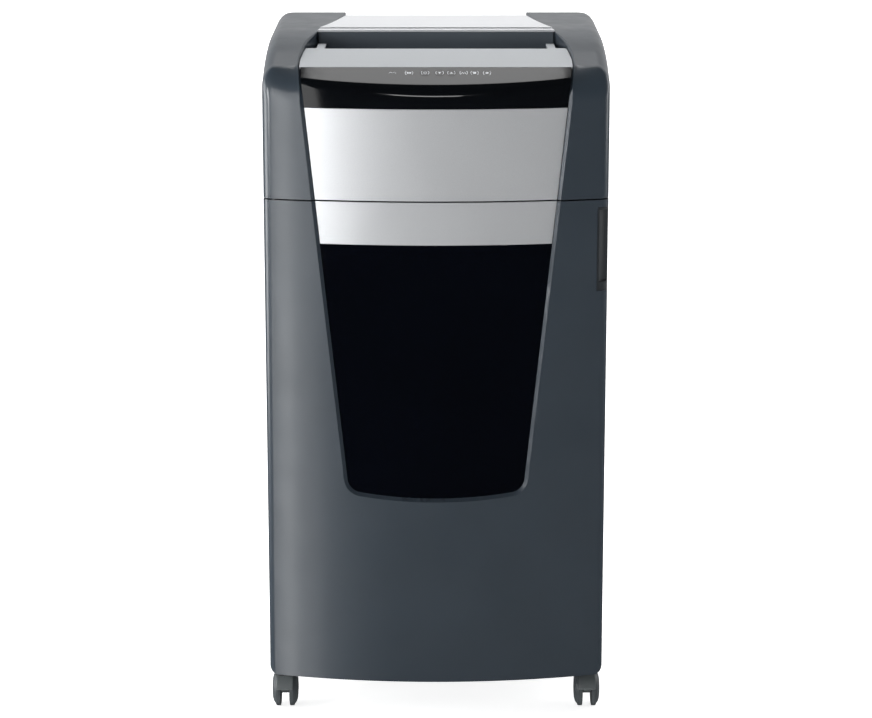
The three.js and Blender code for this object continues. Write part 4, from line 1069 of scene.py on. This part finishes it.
def build_wheel(spot, label, side, centre):
    """A domed wheel: flat tread, crowned face with a ring groove and a hub cap."""
    r = WHEEL_RADIUS
    bore = 3.3 * MM
    profile = [(bore, WHEEL_IN), (r - 2 * MM, WHEEL_IN), (r - 0.5 * MM, WHEEL_IN + 0.4 * MM),
               (r, WHEEL_IN + 1.2 * MM), (r, WHEEL_IN + 5.5 * MM), (r - 0.5 * MM, WHEEL_IN + 6.6 * MM),
               (r - 1.8 * MM, WHEEL_IN + 7.4 * MM)]
    for angle in spread(12, 70, 10):
        turn = math.radians(angle)
        dome = WHEEL_IN + 6 * MM + 6.3 * MM * math.sin(turn)
        profile.append((9.5 * MM + (r - 12.2 * MM) * math.cos(turn), dome))
    profile += [(12.6 * MM, WHEEL_OUT - 0.35 * MM), (12.2 * MM, WHEEL_OUT - 1.1 * MM),
                (10.8 * MM, WHEEL_OUT - 1.1 * MM), (10.4 * MM, WHEEL_OUT - 0.2 * MM),
                (8 * MM, WHEEL_OUT), (bore, WHEEL_OUT)]
    name = "castor_%s_tread_%s" % (spot, label)
    wheel = lathe(name, [(radius, side * reach) for radius, reach in profile], centre, 72)
    node = "castor_%s_wheel_%s" % (spot, label)
    place(wheel, TYRE, "wheel_%s_%s" % (spot, label), "castor_wheel", [node], 40)


# ------------------------------------------------------------------ CAD nodes that stay
def dress(names, material, edge=0.4 * MM):
    """A CAD node kept as it is, with its edges softened and a finished material."""
    for name in names:
        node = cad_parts[name]
        node.data.materials.clear()
        node.data.materials.append(material)
        weld = node.modifiers.new("weld", "WELD")
        weld.merge_threshold = 1e-5
        if edge:
            step = node.modifiers.new("edges", "BEVEL")
            step.width = edge
            step.segments = 2
            step.limit_method = "ANGLE"
            step.angle_limit = math.radians(35)


def dress_all():
    dress(["front_deck"], DECK_SILVER, 0.6 * MM)
    dress(["throat_rear_trim", "rear_cover"], PALE, 0.5 * MM)
    dress(["throat_front_guide", "throat_rear_wall"], THROAT, 0.5 * MM)
    dress(["base_panel", "top_frame", "door_magnet", "door_interlock_switch", "paper_sensor", "power_inlet",
           "mains_rocker", "front_stripper_comb", "rear_stripper_comb"], BLACK)
    dress(["lower_hinge_bracket", "upper_hinge_pin", "door_catch_plate", "head_chassis_plate",
           "cutter_side_plate_left", "cutter_side_plate_right", "front_tie_rod", "rear_tie_rod",
           "idler_stud"],
          STEEL, 0.25 * MM)
    dress(["control_board"], BOARD, 0.2 * MM)


# ------------------------------------------------------------------ studio
def build_camera():
    data = bpy.data.cameras.new("camera")
    data.lens = 107.2
    data.sensor_width = 36
    data.clip_end = 100
    camera = bpy.data.objects.new("camera", data)
    camera.location = (0, -3.728, 1.356)
    camera.rotation_euler = (math.radians(77), 0, 0)
    bpy.context.scene.collection.objects.link(camera)
    bpy.context.scene.camera = camera


def softbox(name, location, target, size, power, color=(1, 1, 1)):
    data = bpy.data.lights.new(name, "AREA")
    data.shape = "RECTANGLE"
    data.size, data.size_y = size
    data.energy = power
    data.color = color
    lamp = bpy.data.objects.new(name, data)
    lamp.location = location
    aim = Vector(target) - Vector(location)
    lamp.rotation_euler = aim.to_track_quat("-Z", "Y").to_euler()
    bpy.context.scene.collection.objects.link(lamp)
    return lamp


def glowing(name, color, strength):
    made, tree, surface = shader(name, color, 0.9)
    vary_colour(tree, surface, noise(tree, 0.5, 2.0), color, 0.01)
    surface.inputs["Emission Color"].default_value = (1, 1, 1, 1)
    surface.inputs["Emission Strength"].default_value = strength
    return made


PALE_STUDIO = (0.88, 0.88, 0.88)
DIM_CARD = (0.1, 0.1, 0.1)


def studio_sheet(name, across, near, far, material, color, strength):
    """A glowing sheet between two x places and two (y, z) edges."""
    left, right = across
    corners = [(left, *near), (right, *near), (right, *far), (left, *far)]
    sheet = blank(name, corners, [[0, 1, 2, 3]])
    sheet.data.materials.append(glowing(material, color, strength))
    return sheet


def build_studio():
    far, half = 80.0, 20.0
    wall_y = 7.0
    card_y, card_top = wall_y - 0.1, 7.3
    floor = studio_sheet("studio_floor", (-far, far), (-far, 0), (wall_y, 0), "pale_floor", PALE_STUDIO, 0.8)
    wall = studio_sheet("studio_wall", (-far, far), (wall_y, 0), (wall_y, half), "pale_wall",
                        PALE_STUDIO, 1.1)
    for piece in (floor, wall):
        piece.visible_glossy = False
    low_card = studio_sheet("studio_card", (-half, half), (card_y, 0), (card_y, card_top),
                            "dim_card", DIM_CARD, 0.45)
    high_card = studio_sheet("studio_high_card", (-half, half), (card_y, card_top), (wall_y - 2.0, 15),
                             "dim_card", DIM_CARD, 1.1)
    for piece in (low_card, high_card):
        piece.visible_camera = False
        piece.visible_diffuse = False
        piece.visible_shadow = False
    world = bpy.data.worlds.new("studio_world")
    world.use_nodes = True
    sky = world.node_tree.nodes["Background"]
    sky.inputs["Color"].default_value = (0.9, 0.95, 1.0, 1)
    sky.inputs["Strength"].default_value = 0.03
    bpy.context.scene.world = world
    softbox("left_panel", (-2.46, -1.54, 1.12), (0, 0, 0.85), (0.45, 1.3), 30)
    softbox("left_side", (-3.2, 0.1, 0.8), (0, 0, 0.5), (1.6, 2.2), 60)
    softbox("left_strip", (-1.75, -2.62, 0.4), (0, 0, 0.4), (0.16, 4.0), 15)
    softbox("left_fill", (-2.04, -3.0, 0.4), (0, 0, 0.4), (1.0, 4.0), 24)
    softbox("slot_light", (0.0, 0.45, 2.9), (0, 0.45, 0.0), (0.56, 0.8), 4.6)
    softbox("brow", (-0.1, -3.3, 2.9), (0, 0, 0.9), (0.7, 0.3), 4)
    softbox("right_rim", (2.8, 0.6, 1.3), (0, 0, 0.8), (0.9, 1.8), 16)
    overhead = softbox("overhead", (0.0, 0.6, 2.9), (0, 0.0, 0.9), (2.6, 2.3), 38)
    overhead.visible_glossy = False
    view = bpy.context.scene.view_settings
    view.view_transform = "Standard"
    view.look = "None"


build_camera()
build_door()
build_field()
build_grip()
build_liner()
build_shoulders()
build_band()
build_icons()
build_side_panels()
build_back()
build_bin()
build_cutter("front_cutter_shaft", "cutter_front", "front_cutter", -155.2 * MM)
build_cutter("rear_cutter_shaft", "cutter_rear", "rear_cutter", -143.2 * MM)
gear_piece("front_cutter_gear", "gear_front", "front_cutter", 22, 9.3 * MM, 0)
gear_piece("rear_cutter_gear", "gear_rear", "rear_cutter", 22, 9.3 * MM, 0.5)
gear_piece("idler_gear", "gear_idler", "idler", 22, 5 * MM, 0)
gear_piece("motor_pinion", "gear_pinion", "pinion", 12, 3.1 * MM, 0.5)
build_motor()
for castor_spot in ("front_left", "front_right", "rear_left", "rear_right"):
    build_castor(castor_spot)
dress_all()
build_studio()
